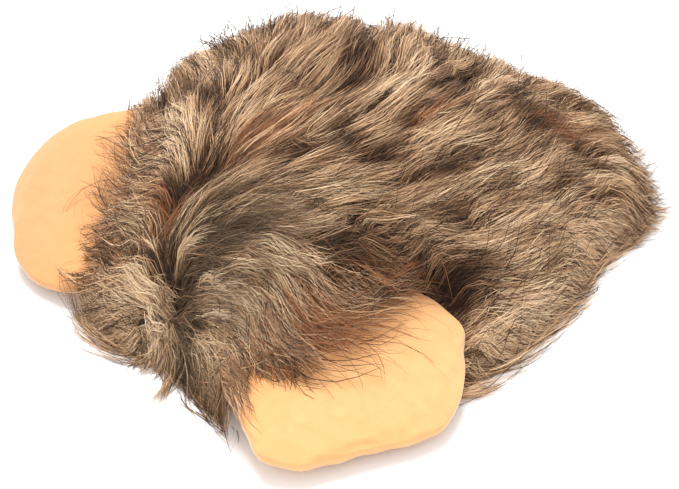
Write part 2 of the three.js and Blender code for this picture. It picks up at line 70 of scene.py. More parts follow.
camera = {
    "azimuth": 42, "elevation": 40, "distance": 1.100, "lens": 114, "sensor": 36,
    "near": 0.05, "far": 20, "target": (0.0479, 0.0460, 0.0300),
}


def placeCamera(view):
    # on a sphere about the target, looking at it
    turn, lift = math.radians(view["azimuth"]), math.radians(view["elevation"])
    away = Vector((math.sin(turn) * math.cos(lift), -math.cos(turn) * math.cos(lift), math.sin(lift)))
    data = bpy.data.cameras.new("studioCamera")
    data.lens = view["lens"]
    data.sensor_width = view["sensor"]
    data.clip_start, data.clip_end = view["near"], view["far"]
    eye = bpy.data.objects.new("studioCamera", data)
    eye.location = Vector(view["target"]) + view["distance"] * away
    eye.rotation_euler = away.to_track_quat("Z", "Y").to_euler()
    bpy.context.scene.collection.objects.link(eye)
    bpy.context.scene.camera = eye


placeCamera(camera)

# The shape of the fur

outline = np.array([.825, .82, .95, .944, .822, .794, .806, .828, .8,
                    .765, .735, .815, .838, .87, .855, .99, .96, .855])  # evenly round, from +X
lie = [  # place, x and y as shares of maneReach, and the bearing in which the fur lies there
    ("right of the whorl", -.06, .1, 62),
    ("right of the hollow", -.05, -.07, 75),
    ("over the parting", -.14, .28, 82),
    ("ridge", -.1, .45, 88),
    ("ridge, middle", .26, .37, 72),
    ("behind the whorl", -.2, .12, 144),
    ("left ear, rear", -.3, .12, 163),
    ("left ear", -.31, .01, 180),
    ("left of the whorl", -.19, -.05, -158),
    ("left of the hollow", -.2, -.14, -165),
    ("left ear, front", -.27, -.22, 165),
    ("left of the brow parting", -.03, -.22, -178),
    ("front, left", -.1, -.33, 178),
    ("front edge, left", .04, -.37, -155),
    ("front edge", .12, -.38, -118),
    ("front tuft", .19, -.36, -75),
    ("front edge, right", .28, -.4, -45),
    ("rear left edge", -.49, .28, 148),
    ("rear left", -.3, .4, 134),
    ("left side", -.56, .55, 150),
    ("forehead, top", .06, .08, 40),
    ("forehead", .19, .04, 38),
    ("forehead, right", .3, .15, 47),
    ("brow, left", .07, -.12, 12),
    ("brow", .2, -.1, 22),
    ("brow, right", .28, -.14, 5),
    ("brow, low", .17, -.25, 8),
    ("front, right", .33, -.26, -4),
    ("right of the brow parting", .14, -.3, -40),
    ("in front of the right ear", .37, -.33, -14),
    ("beside the right ear", .48, -.42, -26),
    ("on the right ear, front", .43, -.16, -6),
    ("on the right ear", .5, -.03, 22),
    ("over the right ear", .5, .08, 46),
    ("behind the right ear", .62, .3, 60),
    ("middle", .53, .36, 56),
    ("back", .3, .25, 56),
    ("back, right", .43, .56, 70),
    ("back, far", .28, .6, 88),
    ("top, right", .19, .91, 104),
    ("top", -.08, .8, 118),
    ("rear left, far", -.25, 1.0, 122),
    ("rear", .1, 1.2, 112),
    ("right shoulder", .36, 1.0, 92),
    ("rear right", .42, 1.22, 70),
    ("right flank, top", .5, .98, 84),
    ("right corner", .55, 1.15, 55),
    ("blond lock", .6, 1.02, 98),
    ("right flank", .61, .82, 88),
    ("right flank, left", .6, .55, 76),
    ("right edge, curl", .7, 1.05, 15),
    ("right edge", .74, .88, 66),
    ("lobe", .8, .56, 74),
    ("lobe, front", .76, .34, 74),
    ("lobe, tip", .82, .22, 62),
]
dents = [  # name, from x y, to x y, deep as a share of crownHeight, wide
    ("whorl", -.12, .09, -.12, .08, .16, .05),
    ("hollow", -.1, .07, -.1, -.07, .15, .08),
    ("back parting", -.11, .08, -.06, .53, .06, .08),
    ("back parting, end", -.06, .53, .17, .97, .07, .08),
    ("brow parting", -.08, -.08, .12, -.31, .08, .07),
    ("fold behind the ear", .42, .36, .8, .52, .07, .09),
    ("in front of the left ear", -.34, -.24, -.2, -.44, .5, .1),
    ("behind the left ear", -.6, .26, -.58, .42, .55, .12),
    ("dip at the back", .06, 1.05, .3, 1.14, .22, .09),
    ("right corner", .42, 1.15, .62, .98, .2, .09),
]
hoodRows = np.array([  # shares of the hood's length, width and rise
    (0, .62, .3), (.12, .7, .46), (.3, .88, .8), (.48, 1, 1), (.66, 1, .95), (.84, .88, .74), (1, .7, .46)])
# each ear's edge: where the fur ends on it, from its middle, by powers of the share of half its width;
# its outline: shares of half its size, evenly round from its tip
ears = {
    # each ear gives the width of the orange painted shade that the fur casts along its edge
    "right": {"node": "ear_right", "x": .585, "y": -.06, "bearing": -8,
              "edge": (-.0172, .0015, -.0033), "overhang": 1.3, "fall": .02, "comesOut": .3,
              "seamRise": .38, "rearRise": .06, "tint": (228, 172, 114), "paintedFurShade": .028,
              "outline": (.905, .965, .951, .944, .957, 1.02, .975, .94, .94, .95, .96, .97,
                          .97, .97, .97, .965, .96, .965, 1.03, 1.12, 1.06, .93, .85, .85)},
    # the left ear's tint is darker than the right's, and its orange shade near the fur wider: painted
    # shade, as the left ear is lit less
    "left": {"node": "ear_left", "x": -.405, "y": .03, "bearing": 211,
             "edge": (-.0132, -.0126, .0115), "overhang": 1.5, "fall": .03, "comesOut": 1,
             "seamRise": .2, "rearRise": .3, "tint": (204, 153, 102), "paintedFurShade": .07,
             "outline": (1.025, 1.015, 1.02, 1.085, 1.11, 1.1, 1.06, 1.04, 1.01, .99, .98, .98,
                         .98, .98, .98, .97, .95, .92, .89, .9, .93, .985, 1.01, 1.015)},
}
ear = {
    "width": 0.130, "length": 0.118, "thick": 0.010, "edge": 0.0024, "tipRise": 0.007, "seam": 0.0015,
    "sinks": 0.012,       # over this distance behind the fur's edge the ear goes down
    "under": 0.018,       # to this depth under the fur
    "clear": 0.0006,      # above the hood cloth
    "furOver": 0.004,     # the fur's surface above the ear's
    "besides": 1.15,      # share of the ear to which the fur beside it comes down too
    "fades": 0.2,
}
whorl = np.array([-.06, -.05]) * reach  # where the gores meet


def smooth(t):
    t = np.clip(t, 0, 1)
    return t * t * (3 - 2 * t)


def fromRows(rows, at):
    # values at whole steps, joined by smooth steps
    at = np.clip(at, 0, len(rows) - 1.001)
    low = np.floor(at).astype(int)
    share = smooth(at - low)
    return rows[low] * (1 - share) + rows[low + 1] * share


def roundAt(ring, bearing):
    # a value at a bearing, from a ring of values that are evenly spaced
    return fromRows(np.append(ring, ring[0]), np.mod(np.degrees(bearing), 360) / (360 / len(ring)))


def outlineAt(bearing):
    return reach * roundAt(outline, bearing)


def furShare(x, y):
    # distance from the crown over the reach at that bearing
    back = y - wig["crownBack"]
    return np.hypot(x, back) / outlineAt(np.arctan2(back, x))


def domeAt(share):
    # 1 at the crown, 0 at the outline, steep there
    return np.clip(1 - np.minimum(share, 1) ** 2, 0, 1) ** wig["fullness"]


def undented(x, y):
    # 1 less each dent, a bell across its line
    left = np.ones_like(x)
    for _, fromX, fromY, toX, toY, deep, wide in dents:
        ax, ay, vx, vy = fromX * reach, fromY * reach, (toX - fromX) * reach, (toY - fromY) * reach
        t = np.clip(((x - ax) * vx + (y - ay) * vy) / (vx * vx + vy * vy), 0, 1)
        off = np.hypot(x - ax - t * vx, y - ay - t * vy)
        left = left - deep * np.exp(-(off / (wide * reach)) ** 2)
    return left


def domeHeight(x, y):
    return wig["crownHeight"] * domeAt(furShare(x, y)) * undented(x, y)


def furHeight(x, y):
    # the dome less its dents, which comes down to each ear within the fall before its fur edge
    height = domeHeight(x, y)
    for one in ears.values():
        share, beyond, middle, half = earAt(one, x, y)
        near = smooth(beyond / one["fall"] + 1) * smooth((ear["besides"] - share) / ear["fades"])
        height = height * (1 - near) + np.minimum(height, middle + half + ear["furOver"]) * near
    return height


def baseHeight(x, y):
    low = wig["seamLevel"] + wig["rimThick"]
    room = wig["crownHeight"] - wig["pileDepth"] - low
    return low + room * domeAt(furShare(x, y) / wig["baseShare"]) * undented(x, y)


def lieAt(x, y):
    # the rows' bearings, averaged as arrows, each weighted by a power of its distance
    rows = np.array([row[1:] for row in lie], float)
    dx = x[..., None] - reach * rows[:, 0]
    dy = y[..., None] - reach * rows[:, 1]
    weight = (dx * dx + dy * dy + (wig["lieNear"] * reach) ** 2) ** -wig["liePower"]
    angle = np.radians(rows[:, 2])
    return np.arctan2((weight * np.sin(angle)).sum(-1), (weight * np.cos(angle)).sum(-1))


def hoodTop(x, y):
    # outside of the hood cloth, an arch at each place along it, and 0 beside it
    along = (y + wig["faceHem"]) / wig["hoodLength"]
    half = np.interp(along, hoodRows[:, 0], hoodRows[:, 1]) * wig["hoodWidth"] / 2
    rise = np.interp(along, hoodRows[:, 0], hoodRows[:, 2]) * wig["hoodRise"] + wig["clothWall"]
    side = np.clip(np.abs(x) / half, 0, 1)
    arch = np.sin(np.arccos(side ** (1 / wig["archSquare"]))) ** wig["archFlat"]
    top = wig["seamLevel"] + rise * arch
    return np.where((along < 0) | (along > 1) | (side >= 1), 0, top)


def underPile(x, y):
    # the lowest that pile may hang: the seam, the hood cloth, or the arch of the passage
    side = np.clip(np.abs(x) / (wig["slotWidth"] / 2), 0, 1)
    passage = wig["seamLevel"] + wig["slotRise"] * np.sqrt(1 - side ** 2)
    return np.maximum(hoodTop(x, y), passage) + wig["gap"]


def furEdgeOn(one, side):
    # how far from the ear's middle the fur ends, at a distance beside its middle line
    level, slope, bow = one["edge"]
    across = side * (2 / ear["width"])
    return level + slope * across + bow * across * across


def earAt(one, x, y):
    # where points lie on an ear: the share outwards, the distance past the fur's edge,
    # the level of its middle, and half its thickness
    turn = math.radians(one["bearing"])
    dx, dy = x - one["x"] * reach, y - one["y"] * reach
    along = dx * math.cos(turn) + dy * math.sin(turn)
    side = -dx * math.sin(turn) + dy * math.cos(turn)
    long, wide = along / (ear["length"] / 2), side / (ear["width"] / 2)
    share = np.hypot(long, wide) / roundAt(one["outline"], np.arctan2(wide, long))
    fromTip = np.clip((ear["length"] / 2 - along) / ear["length"], 0, 1)
    rearward = np.clip(0.5 + math.copysign(1, math.cos(turn)) * side / ear["width"], 0, 1)
    rise = one["seamRise"] * fromTip ** 1.6 + one["rearRise"] * rearward
    level = ear["tipRise"] + rise * wig["crownHeight"]
    past = along - furEdgeOn(one, side)
    hidden = smooth((-ear["sinks"] - past) / ear["sinks"])
    level = level + (np.minimum(level, domeHeight(x, y) - ear["under"]) - level) * hidden
    level = np.maximum(level, hoodTop(x, y) + ear["clear"] + ear["thick"] / 2)
    half = (ear["edge"] + (ear["thick"] - ear["edge"]) * np.sqrt(np.clip(1 - share ** 4, 0, 1))) / 2
    return share, past, level, half


# Meshes and finishes

def newPiece(name, points, faces, finish, uv=None):
    # triangles from whole arrays, smooth shaded
    mesh = bpy.data.meshes.new(name)
    mesh.vertices.add(len(points))
    mesh.vertices.foreach_set("co", np.ascontiguousarray(points, np.float32).ravel())
    mesh.loops.add(faces.size)
    mesh.loops.foreach_set("vertex_index", np.ascontiguousarray(faces, np.int32).ravel())
    mesh.polygons.add(len(faces))
    mesh.polygons.foreach_set("loop_start", np.arange(0, faces.size, 3, dtype=np.int32))
    mesh.polygons.foreach_set("use_smooth", np.ones(len(faces), bool))
    mesh.update(calc_edges=True)
    if uv is not None:
        layer = mesh.uv_layers.new(name="OFBake")
        layer.data.foreach_set("uv", np.ascontiguousarray(uv[faces.ravel()], np.float32).ravel())
    mesh.materials.append(finish)
    made = bpy.data.objects.new(name, mesh)
    bpy.context.scene.collection.objects.link(made)
    return made


def gridFaces(rows, columns, first=0, flip=False):
    # two triangles for each cell of a grid of points
    low = first + np.arange(rows - 1)[:, None] * columns + np.arange(columns - 1)
    cells = np.stack([low, low + 1, low + columns + 1, low, low + columns + 1, low + columns], -1)
    faces = cells.reshape(-1, 3)
    return faces[:, ::-1] if flip else faces


def bandFaces(inner, outer, sides, flip=False):
    # two triangles for each step round between two rings, which are given by their first points
    columns = np.arange(sides)
    after = (columns + 1) % sides
    cells = np.concatenate([np.stack([inner + columns, outer + columns, outer + after], -1),
                            np.stack([inner + columns, outer + after, inner + after], -1)])
    return cells[:, ::-1] if flip else cells


def closedSlab(top, bottom):
    # two grids of points, one over the other, joined by a wall round their edge
    rows, columns = top.shape[:2]
    count = rows * columns
    index = np.arange(count).reshape(rows, columns)
    rim = np.concatenate([index[0, :], index[1:, -1], index[-1, -2::-1], index[-2:0:-1, 0]])
    after = np.roll(rim, -1)
    wall = np.concatenate([np.stack([rim, rim + count, after + count], -1),
                           np.stack([rim, after + count, after], -1)])
    faces = np.concatenate([gridFaces(rows, columns), gridFaces(rows, columns, count, True), wall])
    return np.concatenate([top.reshape(-1, 3), bottom.reshape(-1, 3)]), faces


def tint(red, green, blue):
    # a colour as it looks on screen, as the shader wants it
    linear = [((c / 255 + 0.055) / 1.055) ** 2.4 if c > 10 else c / 3294 for c in (red, green, blue)]
    return (*linear, 1)


class Wire:
    # a socket of a material's nodes: sums on it add Math nodes, and add() makes any other node
    def __init__(self, tree, socket=None):
        self.tree, self.socket = tree, socket

    def add(self, kind, settings=None, values=None, output=0):
        made = self.tree.nodes.new(kind)
        for key, value in (settings or {}).items():
            if key == "stops":
                ramp = made.color_ramp
                while len(ramp.elements) < len(value):
                    ramp.elements.new(0.5)
                for element, (place, colour) in zip(ramp.elements, value):
                    element.position, element.color = place, colour
            else:
                setattr(made, key, value)
        for key, value in (values or {}).items():
            if isinstance(value, Wire):
                self.tree.links.new(value.socket, made.inputs[key])
            else:
                made.inputs[key].default_value = value
        return Wire(self.tree, made.outputs[output])

    def maths(self, operation, other=0.0, swap=False):
        pair = (other, self) if swap else (self, other)
        return self.add("ShaderNodeMath", {"operation": operation}, dict(enumerate(pair)))

    def __add__(self, other):
        return self.maths("ADD", other)

    def __mul__(self, other):
        return self.maths("MULTIPLY", other)

    def __sub__(self, other):
        return self.maths("SUBTRACT", other)

    def __rsub__(self, other):
        return self.maths("SUBTRACT", other, True)

    def __gt__(self, other):
        return self.maths("GREATER_THAN", other)

    __radd__ = __add__
    __rmul__ = __mul__

    def ramp(self, *stops):
        return self.add("ShaderNodeValToRGB", {"stops": stops}, {0: self})

    def between(self, low, high, start=0.0, end=1.0):
        return self.add("ShaderNodeMapRange", {"interpolation_type": "SMOOTHSTEP"},
                        {0: self, 1: low, 2: high, 3: start, 4: end})

    def mixed(self, first, second, blend="MIX"):
        # this socket is the share of the second colour
        return self.add("ShaderNodeMix", {"data_type": "RGBA", "blend_type": blend},
                        {0: self, 6: first, 7: second}, 2)


def newFinish(name, roughness, sheen=0.0, specular=0.3):
    # a material with one Principled shader, and a wire to start from
    finish = bpy.data.materials.new(name)
    finish.use_nodes = True
    shader = finish.node_tree.nodes["Principled BSDF"]
    shader.inputs["Roughness"].default_value = roughness
    shader.inputs["Specular IOR Level"].default_value = specular
    shader.inputs["Sheen Weight"].default_value = sheen
    shader.inputs["Sheen Roughness"].default_value = 0.5
    return finish, shader, Wire(finish.node_tree)


def plug(shader, name, wire):
    wire.tree.links.new(wire.socket, shader.inputs[name])


furColours = {
    "dark": (40, 28, 24), "umber": (88, 62, 46), "brown": (138, 102, 75), "drab": (178, 143, 110),
    "sand": (208, 169, 130), "straw": (226, 191, 152), "cream": (242, 216, 182),
    "olive": (122, 106, 84), "rust": (166, 102, 62), "sheen": (236, 200, 164), "gloss": (255, 218, 184),
}
furTones = ((0, "dark"), (.16, "umber"), (.34, "brown"), (.5, "drab"), (.68, "sand"), (.86, "straw"),
            (1, "cream"))
furLook = {"roughness": 0.55, "sheen": 0.1, "specular": 0.22, "olive": 0.35, "rust": 0.5}


def furFinish(name):
    # u holds the tone, dark to cream, which changes along a strand; v holds one of three bands of hue:
    # warm, olive or rust
    finish, shader, start = newFinish(name, furLook["roughness"], furLook["sheen"], furLook["specular"])
    colours = {key: tint(*colour) for key, colour in furColours.items()}
    shader.inputs["Sheen Tint"].default_value = colours["sheen"]
    shader.inputs["Specular Tint"].default_value = colours["gloss"]
    uv = start.add("ShaderNodeUVMap", {"uv_map": "OFBake"})
    tone = start.add("ShaderNodeSeparateXYZ", None, {0: uv})
    bands = start.add("ShaderNodeSeparateXYZ", None, {0: uv}, 1) * 3
    warm = tone.ramp(*[(place, colours[key]) for place, key in furTones])
    olive = ((bands > 1) * (1 - (bands > 2)) * furLook["olive"]).mixed(warm, colours["olive"])
    plug(shader, "Base Color", ((bands > 2) * furLook["rust"]).mixed(olive, colours["rust"]))
    return finish


def pileShadeFinish(name):
    # the dense undercoat: streaks of brown kept near black, partly the pile's own brown and partly painted
    # shade of the deep pile, with short hairs in the bump
    finish, shader, start = newFinish(name, 0.9, 0.1, 0.1)
    place = start.add("ShaderNodeTexCoord", None, None, 3)
    coarse = start.add("ShaderNodeTexNoise", None, {"Vector": place, "Scale": 90, "Detail": 3})
    fine = start.add("ShaderNodeTexNoise", None, {"Vector": place, "Scale": 900, "Detail": 2})
    stripes = coarse * 0.6 + fine * 0.4
    # painted shade: the base's browns are kept near black
    plug(shader, "Base Color", stripes.ramp(
        (.3, tint(22, 16, 13)), (.5, tint(42, 30, 24)), (.7, tint(66, 48, 36))))
    bump = start.add("ShaderNodeBump", None, {"Strength": 0.6, "Distance": 0.002, "Height": stripes})
    plug(shader, "Normal", bump)
    return finish


shadedUndercoat = pileShadeFinish("shadedUndercoat")
manePile = furFinish("manePile")

# Strands

tonePatches = [  # place, x and y as shares of maneReach, radius in metres, lighter or darker
    # the whorl and the hollow: partly the fur's reddish brown, partly painted shade in their dents
    ("whorl", -.11, .08, .011, -.8),
    ("hollow", -.12, -.05, .012, -.7),
    ("comma", .12, .28, .006, -.6),
    ("comma, end", .17, .36, .006, -.5),
    ("left of the comma", -.03, .28, .01, -.3),
    ("top, dark lock", -.11, .8, .011, -.45),
    ("top, dark lock beside it", -.1, .97, .01, -.3),
    ("ridge, dark", 0, .6, .011, -.4),
    ("back, reddish streak", .27, .62, .009, -.5),
    ("back, grey streak", .3, .41, .008, -.5),
    ("back, short streak", .45, .53, .005, -.5),
    ("flank, reddish streak", .61, .61, .008, -.25),
    ("flank, streak", .6, .86, .008, -.5),
    ("flank, corner", .56, 1.03, .01, -.45),
    ("flank, top", .44, .96, .01, -.35),
    ("flank, far", .34, .97, .01, -.3),
    ("middle streak", .44, .25, .007, -.4),
    ("middle streak, left", .4, .11, .008, -.45),
    ("forehead, olive", .08, .04, .01, -.4),
    ("forehead, lower", .15, -.04, .012, -.45),
    ("brow, olive", .12, -.13, .016, -.35),
    ("brow, right", .34, -.12, .01, -.3),
    ("brow, low", .19, -.24, .006, -.5),
    ("front, dark", .22, -.32, .012, -.5),
    # the band, the fold and behind the ear: partly the fur's dark umber, partly painted shade below the
    # fold where the fur above overlaps the fur below
    ("band over the ear", .64, .35, .011, -.6),
    ("band over the ear, left", .5, .2, .011, -.5),
    ("behind the ear", .74, .46, .008, -.4),
    ("fold at the ear", .66, .28, .011, -.4),
    ("lobe, streak", .76, .62, .005, -.15),
    ("lobe, grey streak", .68, .58, .005, -.3),
    ("right edge, dark", .7, .97, .009, -.35),
    ("ridge, cream", -.12, .24, .009, .2),
    ("ridge, cream beyond", -.05, .41, .009, .15),
    ("middle, cream", .3, .18, .01, .1),
    ("back, sandy", .34, .55, .012, .15),
    ("back, sandy beyond", .48, .66, .012, .15),
    ("flank, cream", .66, .8, .012, .2),
    ("blond lock", .62, 1.02, .011, .45),
    ("left of the parting, cream", -.05, -.25, .01, .2),
    ("front, cream lock", .08, -.3, .008, .2),
    ("brow, cream waves", .4, -.15, .012, .12),
    ("lobe, cream", .82, .58, .012, .15),
    ("rear left, straw", -.32, .15, .028, .3),
    ("left of the brow", -.2, -.15, .03, .2),
    ("front, left", -.06, -.35, .03, .32),
    ("lobe", .8, .45, .04, .3),
    ("right edge", .75, .95, .025, .35),
    ("lobe, rim", .84, .7, .02, .3),
    ("on the right ear", .45, -.1, .025, .22),
    ("on the right ear, front", .4, -.25, .02, .2),
    ("on the left ear", -.42, .04, .02, .35),
    ("on the left ear, front", -.3, -.13, .02, .3),
]
huePatches = [  # place, x, y, radius, and 1 for olive or 2 for rust
    ("forehead", .12, -.04, .03, 1),
    ("brow", .2, -.18, .028, 1),
    ("front", .2, -.3, .02, 1),
    ("hollow", -.13, -.05, .009, 2),
    ("left of the comma", -.02, .26, .014, 2),
    ("over the right ear", .5, -.06, .014, 2),
    ("back streak", .27, .62, .006, 2),
    ("rear edge", .47, 1.0, .012, 2),
]


patchShape = {"long": 1.7, "wide": 0.75}


def bells(patches, x, y):
    # for each patch its value and a bell round it, drawn out along the lie of the fur
    for _, px, py, radius, value in patches:
        turn = lieAt(np.array(px * reach), np.array(py * reach))
        dx, dy = x - px * reach, y - py * reach
        ahead, aside = dx * np.cos(turn) + dy * np.sin(turn), dy * np.cos(turn) - dx * np.sin(turn)
        out = (ahead / patchShape["long"]) ** 2 + (aside / patchShape["wide"]) ** 2
        yield value, np.exp(-out / radius ** 2)


def patchSum(patches, x, y):
    # the sum of the patches' bells, each times its value
    total = np.zeros_like(x)
    for value, bell in bells(patches, x, y):
        total = total + value * bell
    return total


def strongestPatch(patches, x, y):
    # the value of the patch whose bell is highest at each place, and how high it is
    best, highest = np.zeros_like(x), np.zeros_like(x)
    for value, bell in bells(patches, x, y):
        best = np.where(bell > highest, value, best)
        highest = np.maximum(highest, bell)
    return best, highest


def spread(count, low, high, shift):
    # a well-spaced sequence of points in a rectangle: multiples of 1/p and of its square, less their
    # whole parts, where p is the plastic number
    number = np.arange(count) + shift
    x = np.mod(number * 0.7548776662466927, 1)
    y = np.mod(number * 0.5698402909980532, 1)
    return low[0] + (high[0] - low[0]) * x, low[1] + (high[1] - low[1]) * y


def inGore(gore, x, y):
    turn = np.mod(np.degrees(np.arctan2(y - whorl[1], x - whorl[0])) - gore[0], 360)
    return turn < gore[1] - gore[0]


probe = {"slope": 0.001, "steepest": 4, "lie": 0.004}
rooting = {
    "steepest": 2.6,      # the most that a steep place adds to the roots there
    "parting": 0.05,      # roots added by how fast the lie spreads, and the most of them
    "partingMost": 3.5,
    "chances": 10,
    "earShare": 1.4,      # for strands over the ears: how near an ear, and the band along its seam
    "earBand": 0.045,
}


def slopeAt(x, y):
    # slopes of the fur's surface along x and y, from its height a millimetre either way
    step, most = probe["slope"], probe["steepest"]
    alongX = (furHeight(x + step, y) - furHeight(x - step, y)) / (2 * step)
    alongY = (furHeight(x, y + step) - furHeight(x, y - step)) / (2 * step)
    return np.clip(alongX, -most, most), np.clip(alongY, -most, most)


def partingAt(x, y):
    # how fast the fur's lie spreads at a place, per metre, measured over a few millimetres
    step = probe["lie"]
    ways = ((step, 0), (-step, 0), (0, step), (0, -step))
    east, west, north, south = (lieAt(x + dx, y + dy) for dx, dy in ways)
    return (np.cos(east) - np.cos(west) + np.sin(north) - np.sin(south)) / (2 * step)


def lockRoots(fur, dice):
    # roots spread over the fur's surface: more of them where it is steep,
    # and far more at a whorl or a parting
    low, high = (-reach, wig["crownBack"] - reach), (reach, wig["crownBack"] + reach)
    x, y = spread(fur["tries"] * fur["locks"], low, high, dice.integers(9999))
    share = furShare(x, y)
    keep = inGore(fur["gore"], x, y) & (share < fur["outer"]) & (share > fur["inner"])
    if fur["beyond"] == "ears":
        sides = [earAt(one, x, y) for one in ears.values()]
        keep &= np.any([(near < rooting["earShare"]) & (past < 0) & (past > -rooting["earBand"])
                        for near, past, _, _ in sides], axis=0)
    x, y = x[keep], y[keep]
    slopeX, slopeY = slopeAt(x, y)
    steep = np.minimum(np.sqrt(1 + slopeX ** 2 + slopeY ** 2), rooting["steepest"])
    wanted = steep * (1 + np.clip(partingAt(x, y) * rooting["parting"], 0, rooting["partingMost"]))
    found = np.flatnonzero(dice.random(len(x)) < wanted / rooting["chances"])
    found = found[np.linspace(0, len(found) - 1, fur["locks"]).astype(int)]
    return x[found], y[found]


def streamlines(x, y, length, swing, wave, phase, waves=1.1, steps=13):
    # from each root a path of equal steps along the lie of the fur, turned by a swing and a wave
    # on the way; a step on a steep place goes less far in plan
    path = np.zeros((len(x), steps, 2))
    for step in range(steps):
        path[:, step] = np.stack([x, y], -1)
        t = step / (steps - 1)
        heading = lieAt(x, y) + swing * t + wave * np.sin(2 * np.pi * (waves * t + phase))
        slopeX, slopeY = slopeAt(x, y)
        climb = slopeX * np.cos(heading) + slopeY * np.sin(heading)
        stride = length / (steps - 1) / np.sqrt(1 + climb ** 2)
        x, y = x + stride * np.cos(heading), y + stride * np.sin(heading)
    return path


def onPath(path, at):
    # places on paths at shares of their length, straight between the paths' points
    steps = path.shape[1]
    at = np.clip(at, 0, 1) * (steps - 1.001)
    low = at.astype(int)
    share = (at - low)[..., None]
    row = np.arange(len(path))[:, None]
    return path[row, low] * (1 - share) + path[row, low + 1] * share


children = {
    "late": 0.7,          # how much of the ragged share is at the start
    "spread": 0.6, "widest": 1.5, "closing": 1.2,
    "curls": 0.6, "moreCurls": 0.8,
    "strayMost": 6, "strayBend": 1.5,
}


def bundle(parents, many, radius, pinch, ragged, curl, stray, dice, steps=13):
    # children beside each parent path: each keeps its own distance sideways, which shrinks by pinch
    # towards the tip, starts late and ends early by up to the ragged share, curls by a sine of its own,
    # and strays
    parent = np.repeat(np.arange(len(parents)), many)
    radius = np.broadcast_to(radius, len(parents))[parent]
    count = len(parent)
    t = np.linspace(0, 1, steps)
    start = children["late"] * ragged * dice.random(count)
    length = 1 - start - ragged * dice.random(count)
    places = onPath(parents[parent], start[:, None] + t * length[:, None])
    ahead = np.gradient(places, axis=1)
    ahead /= np.linalg.norm(ahead, axis=2, keepdims=True) + 1e-9
    side = np.stack([-ahead[..., 1], ahead[..., 0]], -1)
    beside = np.clip(dice.normal(0, children["spread"], count), -children["widest"], children["widest"])
    offset = (radius * beside)[:, None] * (1 - pinch * t ** children["closing"])
    bend = curl * dice.normal(0, 1, count)[:, None] * t
    turns = t * (children["curls"] + children["moreCurls"] * dice.random(count)[:, None])
    bend = bend * np.sin(2 * np.pi * (turns + dice.random(count)[:, None]))
    strays = np.clip(dice.standard_t(3, count), -children["strayMost"], children["strayMost"])
    wander = stray * strays[:, None] * t ** children["strayBend"]
    return places + side * (offset + bend + wander)[..., None], parent, beside


laying = {
    "leastKept": 0.3,     # share of a path below which it is dropped
    "rootDepth": 0.006,   # roots lie this far under the pile's base
    "lowest": 0.0006,
    "overEar": 0.0007,    # strands lie this far over an ear, out to this share of it
    "overShare": 1.04,
    "underEar": 0.001,    # and this far under it
    "comesUp": 1.3,       # how steeply a strand may rise once it is out from under an ear
    "skirt": 0.93,        # share of the fur beyond which strands may droop to the ground
    "slot": 0.02,         # highest ground that strands keep over
    "smoothings": 3,
}


def keptOff(paths, overhang, rim, beyond):
    # cuts paths where they pass the rim, where they have gone as far over an ear as they may, and
    # where they leave it; those rooted under an ear are kept if enough of them comes out; if beyond
    # is set, only those that get past the fur's edge or over an ear are kept; also says which are over one
    steps = paths.shape[1]
    x, y = paths[..., 0], paths[..., 1]
    share = furShare(x, y)
    ended = share > rim[:, None]
    onEar = np.zeros(ended.shape, bool)
    keep = np.ones(len(paths), bool)
    for one in ears.values():
        earShare, past, _, _ = earAt(one, x, y)
        here = (earShare < 1) & (past > 0)
        under = here[:, 0]
        keep &= ~under | ((earShare > 1).mean(1) > one["comesOut"])
        here &= ~under[:, None]
        onEar |= here
        ended |= here & (past > one["overhang"] * overhang[:, None])
        ended |= np.logical_or.accumulate(here, axis=1) & (earShare >= 1)
    first = np.where(ended.any(1), ended.argmax(1), steps)
    over = (onEar & (np.arange(steps) <= first[:, None])).any(1)
    keep &= first > laying["leastKept"] * steps
    if beyond == "edges":
        keep &= over | (share > 1).any(1)
    if beyond == "ears":
        keep &= over
    paths, first = paths[keep], first[keep] / steps
    return onPath(paths, first[:, None] * np.linspace(0, 1, steps)), keep, over[keep]


def raised(paths, level, lift, rise, steepest, ground):
    # heights along paths: from the pile's base at the root up to the fur's surface, off by each
    # strand's level; a strand falls no steeper than it may, which lets it stand off at the rim, never
    # goes under the ground that is given, is held back the more the further it is over the crown,
    # and passes over an ear, or comes out from under it if it is rooted there
    x, y = paths[..., 0], paths[..., 1]
    t = np.linspace(0, 1, paths.shape[1])
    risen = smooth(t / rise[:, None])
    surface = furHeight(x, y) + level[:, None] + lift[:, None] * t ** 2
    z = risen * surface + (1 - risen) * (np.minimum(baseHeight(x, y), surface) - laying["rootDepth"])
    z = np.maximum(z, ground(x, y, t))
    for _ in range(laying["smoothings"]):
        z[:, 1:-1] = (z[:, :-2] + 2 * z[:, 1:-1] + z[:, 2:]) / 4
    stride = np.linalg.norm(np.diff(paths, axis=1), axis=2)
    for step in range(1, len(t)):
        z[:, step] = np.maximum(z[:, step], z[:, step - 1] - steepest * stride[:, step - 1])
    over = np.maximum(z - wig["crownHeight"] - wig["free"], 0)
    z = z - over + wig["most"] * (1 - np.exp(-over / wig["most"]))
    for one in ears.values():
        share, past, middle, half = earAt(one, x, y)
        under = ((share < 1) & (past > 0))[:, :1]
        out = np.maximum(share - 1, 0) * ear["length"] / 2
        free = middle - half - laying["underEar"] + laying["comesUp"] * out
        below = np.minimum(z, np.maximum(free, laying["lowest"]))
        above = np.where(share < laying["overShare"], np.maximum(z, middle + half + laying["overEar"]), z)
        z = np.where(under, below, above)
    return z


